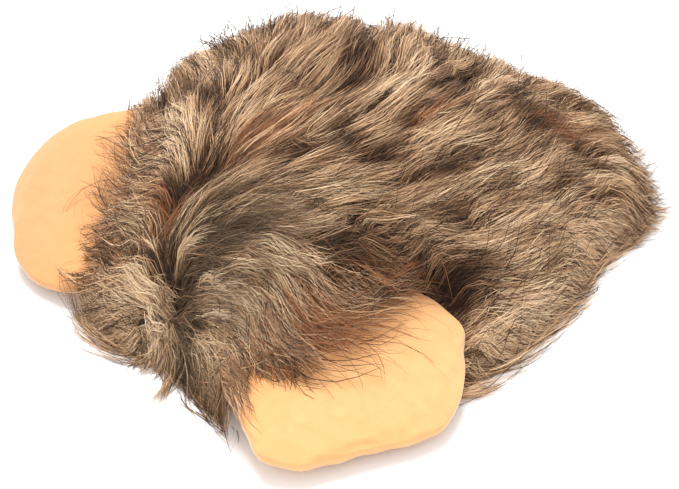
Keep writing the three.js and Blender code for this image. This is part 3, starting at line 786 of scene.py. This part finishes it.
def ribbons(name, paths, z, width, tone, hue, finish, dice, rings):
    # a strand is a flat ribbon along its path, turned a little about its length, widest at a quarter
    # of it, and ends in a point; its sides lie across the path and the fur's slope; u is its tone,
    # and v runs along it within its band of hue
    t = np.linspace(0, 1, rings)
    count = len(paths)
    shape = np.concatenate([paths, z[..., None]], -1)
    spine = onPath(shape, np.repeat(t[None], count, 0))
    ahead = np.gradient(spine, axis=1)
    slopeX, slopeY = slopeAt(spine[..., 0], spine[..., 1])
    up = np.stack([-slopeX, -slopeY, np.ones_like(slopeX)], -1)
    side = np.cross(ahead, up)
    side /= np.linalg.norm(side, axis=2, keepdims=True) + 1e-12
    up = np.cross(side, ahead)
    up /= np.linalg.norm(up, axis=2, keepdims=True) + 1e-12
    roll = dice.normal(0, 0.6, count)[:, None, None]
    half = (width[:, None] * (0.75 + 0.5 * t - t ** 2) / 2)[..., None]
    arm = (side * np.cos(roll) + up * np.sin(roll)) * half
    left, right = spine[:, :-1] + arm[:, :-1], spine[:, :-1] - arm[:, :-1]
    each = 2 * (rings - 1) + 1
    points = np.concatenate([np.stack([left, right], 2).reshape(count, -1, 3), spine[:, -1:]], 1)
    low = 2 * np.arange(rings - 2)[:, None]
    strip = np.concatenate([low + (0, 3, 1), low + (0, 2, 3)], 1).reshape(-1, 3)
    strip = np.concatenate([strip, [[each - 3, each - 1, each - 2]]])
    faces = (strip[None] + each * np.arange(count)[:, None, None]).reshape(-1, 3)
    u = np.clip(np.concatenate([np.repeat(tone[:, :-1], 2, axis=1), tone[:, -1:]], 1), 0.002, 0.998)
    v = (hue[:, None] + 0.01 + 0.98 * np.append(np.repeat(t[:-1], 2), 1)) / 3
    return newPiece(name, points.reshape(-1, 3), faces, finish, np.stack([u, v], -1).reshape(-1, 2))


def wigGround(x, y, t):
    # the pile lies on the hood or the chest near its roots, and its tips may droop to the ground
    inside = np.minimum(underPile(x, y), laying["slot"])
    return np.where(furShare(x, y) > laying["skirt"], laying["lowest"] + 0 * t, inside)


def guided(guides, steps=13, cuts=3, share=0.25):
    # a path through each guide's places: their corners are cut at a share of each side, three times,
    # and then come equal steps along it
    paths = []
    for _, _, _, places in guides:
        line = reach * np.array(places)
        for _ in range(cuts):
            before, after = line[:-1], line[1:]
            cut = np.stack([(1 - share) * before + share * after, share * before + (1 - share) * after], 1)
            line = np.concatenate([line[:1], cut.reshape(-1, 2), line[-1:]])
        gone = np.append(0, np.cumsum(np.linalg.norm(np.diff(line, axis=0), axis=1)))
        at = np.linspace(0, gone[-1], steps)
        paths.append(np.stack([np.interp(at, gone, line[:, 0]), np.interp(at, gone, line[:, 1])], -1))
    return np.array(paths)


lockLie = {"lengths": (0.8, 1.15), "waves": (0.4, 1), "phase": (9, 6, 0.2), "above": 0.001}
tuft = {"pinch": 0.5, "curl": 0.0012, "stray": 0.0012, "level": 0.0012, "sideFall": 0.003}
strand = {
    "pinch": 0.6, "ragged": 0.25, "sideFall": 0.0012, "level": 0.0014, "overhangLeast": 0.001,
    "rimSpread": 0.02, "pastRim": 0.04, "pastShare": 0.12,
    "toneSpread": 0.11, "toneLevel": 0.004, "rootDark": 0.3, "rootFade": 0.45,
    "tipStart": 0.6, "tipFade": 0.4,
    "rustRight": 0.35, "rustLeft": 0.15, "darkHair": 0.05, "lightest": 0.94,
    "rise": (0.12, 0.3), "steep": (0.6, 1.4), "wide": (0.6, 1.3),
}


def lockPaths(fur, dice):
    # the locks' paths along the lie of the fur or along guides, and their radius, tone and level
    if "guides" in fur:
        radius, tone = (np.array([guide[k] for guide in fur["guides"]]) for k in (1, 2))
        return guided(fur["guides"]), radius, tone, 0 * tone
    locks = fur["locks"]
    x, y = lockRoots(fur, dice)
    length = fur["length"] * dice.uniform(*lockLie["lengths"], locks)
    wave = fur["wave"] * dice.uniform(*lockLie["waves"], locks)
    alongX, alongY, loose = lockLie["phase"]
    phase = alongX * x + alongY * y + loose * dice.random(locks)
    paths = streamlines(x, y, length, dice.normal(0, fur["swing"], locks), wave, phase)
    tone = dice.normal(0, fur["mottle"], locks)
    return paths, fur["lockRadius"], tone, dice.uniform(-fur["layers"], lockLie["above"], locks)


def furPiece(name, nodes, slot, fur):
    # locks, tufts within each lock, strands within each tuft; what lies deeper is darker, painted shade for
    # the shadow among the strands; the roots and some of the tips are darker too
    dice = np.random.default_rng(fur["seed"])
    paths, lockRadius, lockTone, lockLevel = lockPaths(fur, dice)
    paths, lock, beside = bundle(
        paths, fur["tufts"], lockRadius, tuft["pinch"], fur["ragged"], tuft["curl"], tuft["stray"], dice)
    tuftTone = lockTone[lock] + dice.normal(0, fur["mottle"], len(lock))
    tuftLevel = lockLevel[lock] + dice.normal(0, tuft["level"], len(lock)) - tuft["sideFall"] * beside ** 2
    paths, parent, beside = bundle(
        paths, fur["strands"], fur["tuftRadius"], strand["pinch"], strand["ragged"],
        fur["curl"], fur["stray"], dice)
    count = len(parent)
    overhang = dice.exponential(fur["overhang"], count) + strand["overhangLeast"]
    rim = dice.normal(fur["rim"], strand["rimSpread"], count)
    rim = np.minimum(rim + strand["pastRim"] * (dice.random(count) < strand["pastShare"]), fur["furthest"])
    paths, keep, over = keptOff(paths, overhang, rim, fur["beyond"])
    parent, beside = parent[keep], beside[keep]
    count = len(parent)
    nearRootX, nearRootY = paths[:, 5, 0], paths[:, 5, 1]
    along = np.repeat(np.linspace(0, 1, fur["rings"])[None], count, 0)
    places = onPath(paths, along)
    deeper = np.abs(dice.normal(0, strand["level"], count))
    level = tuftLevel[parent] - strand["sideFall"] * beside ** 2 - deeper + fur["lift"]
    # painted shade: the deeper a strand lies, the darker its tone
    tone = fur["tone"] + tuftTone[parent] + fur["paintedDepthShade"] * (level + strand["toneLevel"])
    tone = tone + dice.normal(0, strand["toneSpread"], count)
    tipDark = fur["darkTip"] * dice.random(count)[:, None] * smooth(
        (along - strand["tipStart"]) / strand["tipFade"])
    rootDark = strand["rootDark"] * (1 - smooth(along / strand["rootFade"]))
    patches = fur["patchShare"] * patchSum(tonePatches, places[..., 0], places[..., 1])
    tone = tone[:, None] + patches - rootDark - tipDark
    hue, strength = strongestPatch(huePatches, nearRootX, nearRootY)
    hue = np.where(dice.random(count) < strength, hue, 0)
    rust = np.where(nearRootX > 0, strand["rustRight"], strand["rustLeft"])
    hue = np.where(over & (dice.random(count) < rust), 2, hue)
    darkHair = dice.random(count)[:, None] < fur["darkHairs"]
    tone = np.where(darkHair, strand["darkHair"], np.minimum(tone, strand["lightest"]))
    lift = dice.normal(fur["tipLift"], fur["tipSpread"], count)
    rise = dice.uniform(*strand["rise"], count)
    z = raised(paths, level, lift, rise, fur["steepest"] * dice.uniform(*strand["steep"], count), wigGround)
    width = fur["width"] * dice.uniform(*strand["wide"], count)
    made = ribbons(name, paths, z, width, tone, hue, manePile, dice, fur["rings"])
    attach(made, "root")
    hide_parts(*nodes)
    print(name, "-", count, "strands")


# the painted depth shade darkens a strand the deeper it lies, by this much tone a metre
maneRight = {
    "gore": (4, 78), "seed": 31, "locks": 290, "tufts": 10, "strands": 10, "inner": 0.0, "outer": 0.97,
    "tries": 60, "rings": 5, "length": 0.06, "wave": 0.12, "swing": 0.16, "mottle": 0.15,
    "layers": 0.008, "ragged": 0.22, "lockRadius": 0.009, "tuftRadius": 0.0022, "curl": 0.0009,
    "stray": 0.0014, "tone": 0.58, "paintedDepthShade": 34, "lift": 0.002, "tipLift": 0.0005, "tipSpread": 0.003,
    "steepest": 1.9, "width": 0.00036, "overhang": 0.0015, "rim": 1.0, "furthest": 1.1,
    "darkHairs": 0.15, "darkTip": 0.6, "patchShare": 1.15, "beyond": "",
}
# the undercoat strands' darker tone is partly the fur's own darker undercoat, partly painted shade of the
# gaps between the locks
maneRightUnder = {**maneRight, "seed": 32, "locks": 130, "tufts": 8, "lift": -0.004, "tone": 0.28,
                  "width": 0.0006}
maneLeft = {**maneRight, "gore": (78, 184), "seed": 33, "locks": 225}
maneLeftUnder = {**maneRightUnder, "gore": (78, 184), "seed": 34, "locks": 90}
browFringe = {**maneRight, "gore": (184, 364), "seed": 35, "locks": 400, "wave": 0.4, "curl": 0.002,
              "paintedDepthShade": 44, "stray": 0.0018, "tone": 0.5, "mottle": 0.18, "tuftRadius": 0.0017,
              "width": 0.00033}
fuzz = {**maneRight, "gore": (0, 360), "seed": 39, "locks": 650, "tufts": 2, "strands": 6,
        "length": 0.022, "wave": 0.8, "swing": 1.6, "layers": 0.004, "curl": 0.001, "tone": 0.26,
        "lift": -0.003, "width": 0.0004, "tries": 30}
crestWisps = {**maneRight, "gore": (0, 360), "seed": 36, "locks": 850, "tufts": 1, "strands": 3,
              "inner": 0.4, "outer": 0.99, "tries": 30, "wave": 0.3, "swing": 0.35, "mottle": 0.04,
              "paintedDepthShade": 0, "layers": 0.001, "lift": 0.003, "curl": 0.002, "stray": 0.004, "tone": 0.1,
              "tipLift": 0.009, "tipSpread": 0.006, "steepest": 1.2, "width": 0.00045,
              "overhang": 0.012, "rim": 1.04, "rings": 7, "patchShare": 0.3}
edgeWisps = {**crestWisps, "seed": 37, "locks": 1700, "strands": 4, "inner": 0.5, "length": 0.07,
             "stray": 0.005, "tipLift": 0.005, "tipSpread": 0.004, "steepest": 0.8, "overhang": 0.014,
             "rim": 1.06, "curl": 0.003, "tone": 0.62, "darkHairs": 0.3, "darkTip": 0.9,
             "width": 0.00042, "beyond": "edges"}
earFluff = {**edgeWisps, "seed": 38, "locks": 1100, "tufts": 2, "tries": 150, "inner": 0.3,
            "length": 0.055, "stray": 0.003, "tone": 0.75, "darkTip": 0.2, "rings": 5, "mottle": 0.1,
            "tipLift": 0.001, "tipSpread": 0.002, "overhang": 0.011, "width": 0.0003,
            "darkHairs": 0.2, "beyond": "ears"}
earWisps = {**earFluff, "seed": 42, "locks": 1400, "tufts": 1, "strands": 2, "length": 0.075,
            "wave": 0.5, "swing": 0.8, "rings": 8, "stray": 0.005, "tone": 0.05, "overhang": 0.046,
            "width": 0.00048, "tipLift": 0.004, "patchShare": 0}
guides = [  # locks laid where the photo shows them: name, radius, tone, places as shares of maneReach
    ("along the right ear", .005, .6, ((.37, -.31), (.46, -.35), (.52, -.38), (.59, -.4), (.65, -.4))),
    ("on the right ear, front", .006, .5, ((.31, -.29), (.42, -.31), (.49, -.33), (.56, -.38))),
    ("on the right ear", .004, .5, ((.34, -.22), (.42, -.22), (.47, -.19), (.51, -.16), (.57, -.12))),
    ("on the right ear, far", .004, .45, ((.38, -.12), (.44, -.1), (.49, -.05), (.55, -.02), (.61, .02))),
    ("thin front tuft", .002, .65, ((.14, -.31), (.18, -.34), (.21, -.41), (.235, -.48))),
    ("left of the parting", .003, 1, ((.1, -.22), (.07, -.23), (.02, -.25), (-.05, -.27), (-.2, -.23))),
    ("across the parting", .005, .45, ((-.02, -.21), (.03, -.23), (.08, -.24), (.17, -.25))),
    ("front, cream", .003, .95, ((.0, -.26), (.02, -.28), (.06, -.3), (.1, -.3), (.15, -.3))),
    ("brow, cream, first", .0025, .85, ((.01, -.19), (.01, -.15), (.05, -.11), (.12, -.09))),
    ("brow, cream, second", .003, .95, ((.06, -.14), (.12, -.11), (.22, -.11), (.31, -.1), (.4, -.09))),
    ("brow, cream, third", .003, 1, ((.08, -.19), (.15, -.16), (.22, -.17), (.29, -.17), (.36, -.16))),
    ("brow, cream, fourth", .003, 1, ((.11, -.24), (.19, -.23), (.27, -.22), (.34, -.23), (.41, -.21))),
    ("brow, cream, fifth", .003, .95, ((.12, -.28), (.19, -.27), (.25, -.29), (.32, -.31), (.39, -.31))),
    ("comma", .004, .12, ((-.01, .26), (.06, .28), (.12, .26), (.17, .28), (.19, .35), (.18, .41))),
    ("ridge", .006, .85, ((-.13, .11), (-.11, .19), (-.11, .29), (-.09, .41), (-.05, .57))),
    ("right edge, dark", .004, .1, ((.6, .97), (.62, 1.03), (.68, 1.05), (.71, 1.09))),
    ("back, reddish", .006, .3, ((.29, .46), (.28, .56), (.29, .66), (.29, .75))),
    ("flank, dark", .004, .3, ((.57, .49), (.6, .58), (.62, .68), (.62, .79))),
    ("middle, dark", .005, .3, ((.39, .12), (.43, .21), (.46, .31), (.48, .43))),
    # these two dark locks along the fold behind the right ear: partly dark fur, partly painted shade below
    # the fold
    ("over the right ear, dark", .009, .12, ((.48, .12), (.52, .22), (.6, .33), (.68, .42), (.76, .56))),
    ("beside the right ear, dark", .007, .15, ((.56, .24), (.62, .28), (.69, .36), (.75, .47))),
    ("over the right ear, first", .006, .15, ((.36, -.01), (.43, .07), (.48, .18), (.56, .27))),
    ("on the left ear", .005, .6, ((-.16, -.07), (-.24, -.09), (-.35, -.07), (-.44, -.06))),
    ("on the left ear, front", .005, .6, ((-.07, -.16), (-.17, -.17), (-.31, -.13), (-.39, -.13))),
    ("on the left ear, rear", .006, .75, ((-.19, .06), (-.33, .1), (-.47, .13), (-.55, .13))),
    ("front edge, left", .006, .75, ((.04, -.32), (-.03, -.36), (-.12, -.37), (-.25, -.35))),
    ("top tuft", .006, .4, ((-.25, .49), (-.37, .59), (-.5, .7))),
    ("lobe, low", .009, .8, ((.7, .22), (.78, .27), (.84, .34), (.88, .42))),
    ("lobe, lowest", .009, .75, ((.72, .14), (.79, .18), (.85, .24), (.88, .31))),
    ("lobe, front", .006, .7, ((.74, .1), (.79, .13), (.83, .17), (.86, .24))),
]
laidLocks = {**maneRight, "guides": guides, "seed": 43, "tufts": 9, "strands": 9, "mottle": 0.07,
             "tone": 0, "paintedDepthShade": 20, "tuftRadius": 0.0013, "ragged": 0.5, "lift": 0.0025,
             "overhang": 0.03, "rim": 1.2, "furthest": 1.25, "darkHairs": 0.08, "patchShare": 0,
             "tipLift": 0.002}
furPieces = [  # name, the nodes it stands for, material slot, settings
    ("mane_right_fur", ["mane_right"], "mane_pile", maneRight),
    ("mane_right_undercoat_fur", ["mane_right"], "mane_pile", maneRightUnder),
    ("mane_left_fur", ["mane_left"], "mane_pile", maneLeft),
    ("mane_left_undercoat_fur", ["mane_left"], "mane_pile", maneLeftUnder),
    ("brow_fringe_fur", ["brow_fringe"], "brow_pile", browFringe),
    ("root_fuzz", [], "mane_pile", fuzz),
    ("laid_locks", [], "mane_pile", laidLocks),
    ("crest_wisps", [], "mane_pile", crestWisps),
    ("edge_wisps", [], "mane_pile", edgeWisps),
    ("ear_fluff", [], "mane_pile", earFluff),
    ("ear_wisps", [], "mane_pile", earWisps),
]
for row in furPieces:
    furPiece(*row)

# The pile's base under the strands

def reachFrom(place, bearing, share):
    # the distance from a place to where the fur's share is as given, by halving
    low, high = np.zeros_like(bearing), np.full_like(bearing, 2 * reach)
    for _ in range(24):
        middle = (low + high) / 2
        out = furShare(place[0] + middle * np.cos(bearing), place[1] + middle * np.sin(bearing)) > share
        low, high = np.where(out, low, middle), np.where(out, middle, high)
    return low


base = {
    "sides": 70, "rings": 46,
    "seam": math.radians(0.4),  # half the angle between neighbouring wedges
    "start": 0.004,
    "sunk": 0.006,        # under the level of the pile's base and of the fur's surface
    "underFur": 0.008,
    "underEar": 0.0015,   # under an ear, to this share of it and from this far behind the fur's edge on it
    "earShare": 1.05,
    "pastEdge": -0.006,
    "least": 0.0008,      # least thickness
}


def pileBase(name, node, gore):
    # a wedge between two surfaces: the pile's base above, and the hood cloth and the passage below
    bearing = np.radians(np.linspace(gore[0], gore[1], base["sides"]))
    bearing = np.clip(bearing, bearing[0] + base["seam"], bearing[-1] - base["seam"])
    far = reachFrom(whorl, bearing, wig["baseShare"])
    out = np.linspace(base["start"], 1, base["rings"])[:, None] * far
    x, y = whorl[0] + out * np.cos(bearing), whorl[1] + out * np.sin(bearing)
    bottom = underPile(x, y)
    top = np.minimum(baseHeight(x, y) - base["sunk"], furHeight(x, y) - base["underFur"])
    for one in ears.values():
        share, past, middle, thick = earAt(one, x, y)
        under = (share < base["earShare"]) & (past > base["pastEdge"])
        top = np.where(under, np.minimum(top, middle - thick - base["underEar"]), top)
    top = np.maximum(top, bottom + base["least"])
    points, faces = closedSlab(np.stack([x, y, top], -1)[::-1], np.stack([x, y, bottom], -1)[::-1])
    # the base takes the undercoat finish, with its painted shade
    made = newPiece(name, points, faces, shadedUndercoat)
    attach(made, "root")
    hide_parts(node)


pileBase("mane_right_base", "mane_right", maneRight["gore"])
pileBase("mane_left_base", "mane_left", maneLeft["gore"])
pileBase("brow_fringe_base", "brow_fringe", browFringe["gore"])
print("pile bases made")

# The chest: a flat panel of backing and pile, and strands that lie out from under it

chest = {
    "sides": 160, "rings": 14, "ringsTo": 0.96, "edgeRings": (0.98, 0.993, 1.0),
    "thick": 0.009, "edge": 0.06, "clear": 0.0002, "merge": 1e-5,
    "seed": 41, "locks": 230, "tufts": 4, "strands": 7, "apart": 0.6, "from": (0.68, 0.84),
    "length": 0.046, "lengths": (0.8, 1.2), "swing": 0.2, "wave": 0.15,
    "lockRadius": 0.006, "tuftRadius": 0.002, "curl": 0.001, "stray": 0.001,
    "lockPinch": 0.4, "lockRagged": 0.25, "tuftPinch": 0.6, "tuftRagged": 0.35,
    "tone": 0.75, "width": 0.0006,
    "rim": 1.0, "rimSpread": 0.025, "furthest": 1.06, "leastKept": 0.25, "fromEars": 1.2,
    "low": 0.001, "high": 0.009, "droop": 0.8, "tipDark": 0.2, "toneSpread": 0.16, "ribbon": 5,
}


def chestPanel():
    # rings about the crown: a flat top and bottom that meet in an edge with the section of half an ellipse
    bearing = np.linspace(0, 2 * np.pi, chest["sides"] + 1)
    share = np.append(np.linspace(0, chest["ringsTo"], chest["rings"]), chest["edgeRings"])
    out = share[:, None] * wig["panelShare"] * outlineAt(bearing)
    x, y = out * np.cos(bearing), wig["crownBack"] + out * np.sin(bearing)
    inward = np.clip(share - 1 + chest["edge"], 0, 1) / chest["edge"]
    half = chest["thick"] / 2 * (np.sqrt(np.clip(1 - inward ** 2, 0, 1))[:, None] + 0 * x)
    upper = np.stack([x, y, chest["thick"] / 2 + half], -1)[:, :-1].reshape(-1, 3)
    lower = np.stack([x, y, chest["thick"] / 2 - half + chest["clear"]], -1)[:, :-1].reshape(-1, 3)
    sides = chest["sides"]
    faces = []
    for ring in range(0, (len(share) - 1) * sides, sides):
        faces.append(bandFaces(ring, ring + sides, sides))
        faces.append(bandFaces(len(upper) + ring, len(upper) + ring + sides, sides, True))
    # the panel takes the undercoat finish, with its painted shade
    panel = newPiece("chest_panel", np.concatenate([upper, lower]), np.concatenate(faces), shadedUndercoat)
    body = bmesh.new()
    body.from_mesh(panel.data)
    bmesh.ops.remove_doubles(body, verts=body.verts, dist=chest["merge"])
    body.to_mesh(panel.data)
    body.free()
    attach(panel, "root")
    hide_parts("chest_fur")


chestPanel()


def chestStrands(fur):
    # strands from under the panel's edge outwards, between the surface it lies on and the skirt above
    dice = np.random.default_rng(fur["seed"])
    locks = fur["locks"]
    bearing = 2 * np.pi * (np.arange(locks) + fur["apart"] * dice.random(locks)) / locks
    out = outlineAt(bearing) * dice.uniform(*fur["from"], locks)
    x, y = out * np.cos(bearing), wig["crownBack"] + out * np.sin(bearing)
    length = fur["length"] * dice.uniform(*fur["lengths"], locks)
    swing = dice.normal(0, fur["swing"], locks)
    paths = streamlines(x, y, length, swing, fur["wave"] * dice.random(locks), dice.random(locks))
    paths, _, _ = bundle(paths, fur["tufts"], fur["lockRadius"], fur["lockPinch"], fur["lockRagged"],
                         fur["curl"], fur["stray"], dice)
    paths, _, _ = bundle(paths, fur["strands"], fur["tuftRadius"], fur["tuftPinch"], fur["tuftRagged"],
                         fur["curl"], fur["stray"], dice)
    count = len(paths)
    rim = np.minimum(dice.normal(fur["rim"], fur["rimSpread"], count), fur["furthest"])
    share = furShare(paths[..., 0], paths[..., 1])
    past = share > rim[:, None]
    first = np.where(past.any(1), past.argmax(1), paths.shape[1]) / paths.shape[1]
    keep = first > fur["leastKept"]
    for one in ears.values():
        keep &= (earAt(one, paths[..., 0], paths[..., 1])[0] > fur["fromEars"]).all(1)
    paths, count, first = paths[keep], int(keep.sum()), first[keep]
    paths = onPath(paths, first[:, None] * np.linspace(0, 1, paths.shape[1]))
    x, y = paths[..., 0], paths[..., 1]
    t = np.linspace(0, 1, paths.shape[1])
    z = dice.uniform(fur["low"], fur["high"], count)[:, None] * (1 - fur["droop"] * t) + laying["lowest"]
    tone = fur["tone"] + dice.normal(0, fur["toneSpread"], count)
    tone = tone[:, None] - fur["tipDark"] * np.linspace(0, 1, fur["ribbon"])
    width = fur["width"] * dice.uniform(*strand["wide"], count)
    made = ribbons("chest_rim_fur", paths, z, width, tone, np.zeros(count), manePile, dice, fur["ribbon"])
    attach(made, "root")
    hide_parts("chest_fur")
    print("chest_rim_fur -", count, "strands")


chestStrands(chest)

# The hood's backing cloth

backing = {"rows": 53, "columns": 61, "wall": 0.0024}


def backingFinish():
    # knitted loops in rows: the product of two waves, with a little fluff
    finish, shader, start = newFinish("knittedBacking", 0.95, 0.2, 0.1)
    place = start.add("ShaderNodeTexCoord", None, None, 3)
    rows = start.add("ShaderNodeTexWave", {"bands_direction": "Y"},
                     {"Vector": place, "Scale": 220, "Distortion": 1.5})
    columns = start.add("ShaderNodeTexWave", {"bands_direction": "X"},
                        {"Vector": place, "Scale": 160, "Distortion": 1.0})
    fluff = start.add("ShaderNodeTexNoise", None, {"Vector": place, "Scale": 500, "Detail": 3})
    loops = rows * columns * 0.7 + fluff * 0.3
    plug(shader, "Base Color", loops.ramp(
        (.1, tint(74, 56, 44)), (.6, tint(116, 90, 70)), (1, tint(140, 112, 88))))
    bump = start.add("ShaderNodeBump", None, {"Strength": 0.5, "Distance": 0.0006, "Height": loops})
    plug(shader, "Normal", bump)
    return finish


def hoodBacking(cloth):
    # an arch across the hood, carried from hem to hem: its width and rise run straight between the rows
    along = np.linspace(0, 1, cloth["rows"])[:, None]
    turn = np.linspace(np.pi, 0, cloth["columns"])[None]
    y = -wig["faceHem"] + along * wig["hoodLength"]
    wall = wig["clothWall"] / 2
    half = np.interp(along, hoodRows[:, 0], hoodRows[:, 1]) * wig["hoodWidth"] / 2 - wall
    rise = np.interp(along, hoodRows[:, 0], hoodRows[:, 2]) * wig["hoodRise"] + wall
    x = np.sign(np.cos(turn)) * np.abs(np.cos(turn)) ** wig["archSquare"] * half
    z = wig["seamLevel"] + rise * np.sin(turn) ** wig["archFlat"]
    points = np.stack([x, y + 0 * x, z], -1)
    faces = gridFaces(cloth["rows"], cloth["columns"], 0, True)
    made = newPiece("hood_backing", points.reshape(-1, 3), faces, backingFinish())
    thick = made.modifiers.new("wall", "SOLIDIFY")
    thick.thickness, thick.offset = cloth["wall"], 0
    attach(made, "root")
    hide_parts("hood_cloth")


hoodBacking(backing)

# The ears

plush = {
    "sides": 80, "rings": 19,
    "start": 0.85,        # share of the padding's thickness before it swells
    "pressure": 4.0, "stiffness": 15, "frames": 20, "cap": 0.0016,
    # the orange of the painted shade that the fur casts on the plush near its edge, its strength there, and
    # how its edge wanders
    "paintedFurShade": (228, 158, 96), "paintedFurShadeShare": 0.8, "paintedFurShadeWander": 0.02, "toneStep": 8,
    "broad": 28, "patches": 160, "nap": 1500,
}


def plushFinish(one, name, pad):
    # peach plush: orange painted shade from the fur towards the seam, patches of nap that lies either way,
    # and a fine nap
    finish, shader, start = newFinish(name, 0.8, 0.6, 0.2)
    turn = math.radians(one["bearing"])
    place = start.add("ShaderNodeTexCoord", None, None, 3)
    along = start.add("ShaderNodeVectorMath", {"operation": "DOT_PRODUCT"},
                      {0: place, 1: (math.cos(turn), math.sin(turn), 0)}, 1)
    side = start.add("ShaderNodeVectorMath", {"operation": "DOT_PRODUCT"},
                     {0: place, 1: (-math.sin(turn), math.cos(turn), 0)}, 1)
    centreX, centreY = one["x"] * reach, one["y"] * reach
    along = along - (centreX * math.cos(turn) + centreY * math.sin(turn))
    side = side - (centreY * math.cos(turn) - centreX * math.sin(turn))
    past = along - furEdgeOn(one, side)
    broad, patches, nap = (
        start.add("ShaderNodeTexNoise", None, {"Vector": place, "Scale": pad[key], "Detail": detail})
        for key, detail in (("broad", 3), ("patches", 3), ("nap", 2)))
    # painted shade: orange near the fur's edge, fading outwards over each ear's own width of it
    wander = (broad - 0.5) * pad["paintedFurShadeWander"]
    paintedFurShade = (past + wander).between(0.0, one["paintedFurShade"], pad["paintedFurShadeShare"], 0)
    low, middle, high = (tint(*[channel + more for channel in one["tint"]])
                         for more in (-pad["toneStep"], 0, pad["toneStep"]))
    peach = (patches * 0.6 + nap * 0.4).ramp((.3, low), (.55, middle), (.8, high))
    plug(shader, "Base Color", paintedFurShade.mixed(peach, tint(*pad["paintedFurShade"])))
    height = nap * 0.6 + patches * 0.4
    bump = start.add("ShaderNodeBump", None, {"Strength": 0.35, "Distance": 0.0006, "Height": height})
    plug(shader, "Normal", bump)
    return finish


def swell(piece, pad):
    # the cover is blown up a little as cloth, and no point moves further than the cap
    count = len(piece.data.vertices)
    before = np.zeros(3 * count, np.float32)
    piece.data.vertices.foreach_get("co", before)
    cloth = piece.modifiers.new("swell", "CLOTH")
    cloth.settings.use_pressure = True
    cloth.settings.uniform_pressure_force = pad["pressure"]
    cloth.settings.effector_weights.gravity = 0
    cloth.settings.tension_stiffness = pad["stiffness"]
    for step in range(1, pad["frames"] + 1):
        bpy.context.scene.frame_set(step)
    seen = piece.evaluated_get(bpy.context.evaluated_depsgraph_get())
    after = np.zeros(3 * count, np.float32)
    seen.data.vertices.foreach_get("co", after)
    piece.modifiers.remove(cloth)
    bpy.context.scene.frame_set(1)
    move = (after - before).reshape(-1, 3)
    size = np.linalg.norm(move, axis=1, keepdims=True)
    move *= np.minimum(1, pad["cap"] / np.maximum(size, 1e-9))
    piece.data.vertices.foreach_set("co", (before.reshape(-1, 3) + move).ravel())
    piece.data.update()


def plushEar(side, pad):
    # two surfaces over an oval plan that meet at the sewn edge, each half the padding off the ear's
    # middle; the rings of points are further apart inside than near the edge
    one = ears[side]
    turn = math.radians(one["bearing"])
    sides, rings = pad["sides"], pad["rings"]
    bearing = np.linspace(0, 2 * np.pi, sides + 1)[:-1]
    share = np.sin(np.linspace(0, np.pi / 2, rings + 1))[1:, None]
    edge = roundAt(one["outline"], bearing)
    long = share * edge * np.cos(bearing) * (ear["length"] / 2 - ear["seam"])
    wide = share * edge * np.sin(bearing) * (ear["width"] / 2 - ear["seam"])
    centreX, centreY = one["x"] * reach, one["y"] * reach
    x = centreX + long * math.cos(turn) - wide * math.sin(turn)
    y = centreY + long * math.sin(turn) + wide * math.cos(turn)
    _, _, level, half = earAt(one, x, y)
    half = np.where(share < 1, half * pad["start"], 0)
    _, _, centre, thick = earAt(one, np.array([centreX]), np.array([centreY]))
    poles = [[centreX, centreY, centre[0] + way * thick[0] * pad["start"]] for way in (1, -1)]
    upper = np.stack([x, y, level + half], -1).reshape(-1, 3)
    lower = np.stack([x, y, level - half], -1)[:-1].reshape(-1, 3)
    points = np.concatenate([upper, lower, poles])
    columns = np.arange(sides)
    after = (columns + 1) % sides
    top, bottom = len(points) - 2, len(points) - 1
    faces = [np.stack([np.full(sides, top), columns, after], -1),
             np.stack([np.full(sides, bottom), rings * sides + after, rings * sides + columns], -1)]
    for ring in range(rings - 1):
        faces.append(bandFaces(ring * sides, (ring + 1) * sides, sides))
        if ring < rings - 2:
            faces.append(bandFaces((rings + ring) * sides, (rings + ring + 1) * sides, sides, True))
    faces.append(bandFaces((2 * rings - 2) * sides, (rings - 1) * sides, sides, True))
    finish = plushFinish(one, side + "EarPlush", pad)
    made = newPiece(one["node"] + "_plush", points, np.concatenate(faces), finish)
    swell(made, pad)
    finer = made.modifiers.new("finer", "SUBSURF")
    finer.levels = finer.render_levels = 1
    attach(made, "root")
    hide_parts(one["node"])
    print(made.name, "made")


for side in ears:
    plushEar(side, plush)

# Floor and light

studio = {"floor": 6.0, "key": 26, "fill": 7, "sky": 1.0}


def studioLight(name, place, size, watts):
    data = bpy.data.lights.new(name, "AREA")
    data.shape, data.size, data.energy = "DISK", size, watts
    lamp = bpy.data.objects.new(name, data)
    lamp.location = place
    lamp.rotation_euler = Vector(place).to_track_quat("Z", "Y").to_euler()
    bpy.context.scene.collection.objects.link(lamp)


def floorFinish():
    finish, shader, _ = newFinish("paleFloor", 0.7, 0, 0.2)
    shader.inputs["Base Color"].default_value = tint(250, 250, 250)
    return finish


corners = np.array([[-1, -1, 0], [1, -1, 0], [1, 1, 0], [-1, 1, 0]]) * studio["floor"] / 2
floor = newPiece("floor", corners, np.array([[0, 1, 2], [0, 2, 3]]), floorFinish())
studioLight("keyLight", (-0.5, 0.35, 1.6), 0.9, studio["key"])
studioLight("fillLight", (1.0, -1.1, 1.2), 1.2, studio["fill"])
world = bpy.data.worlds.new("studio")
world.use_nodes = True
world.node_tree.nodes["Background"].inputs["Color"].default_value = (1, 1, 1, 1)
world.node_tree.nodes["Background"].inputs["Strength"].default_value = studio["sky"]
bpy.context.scene.world = world
bpy.context.scene.view_settings.view_transform = "Standard"
print("floor and light made")
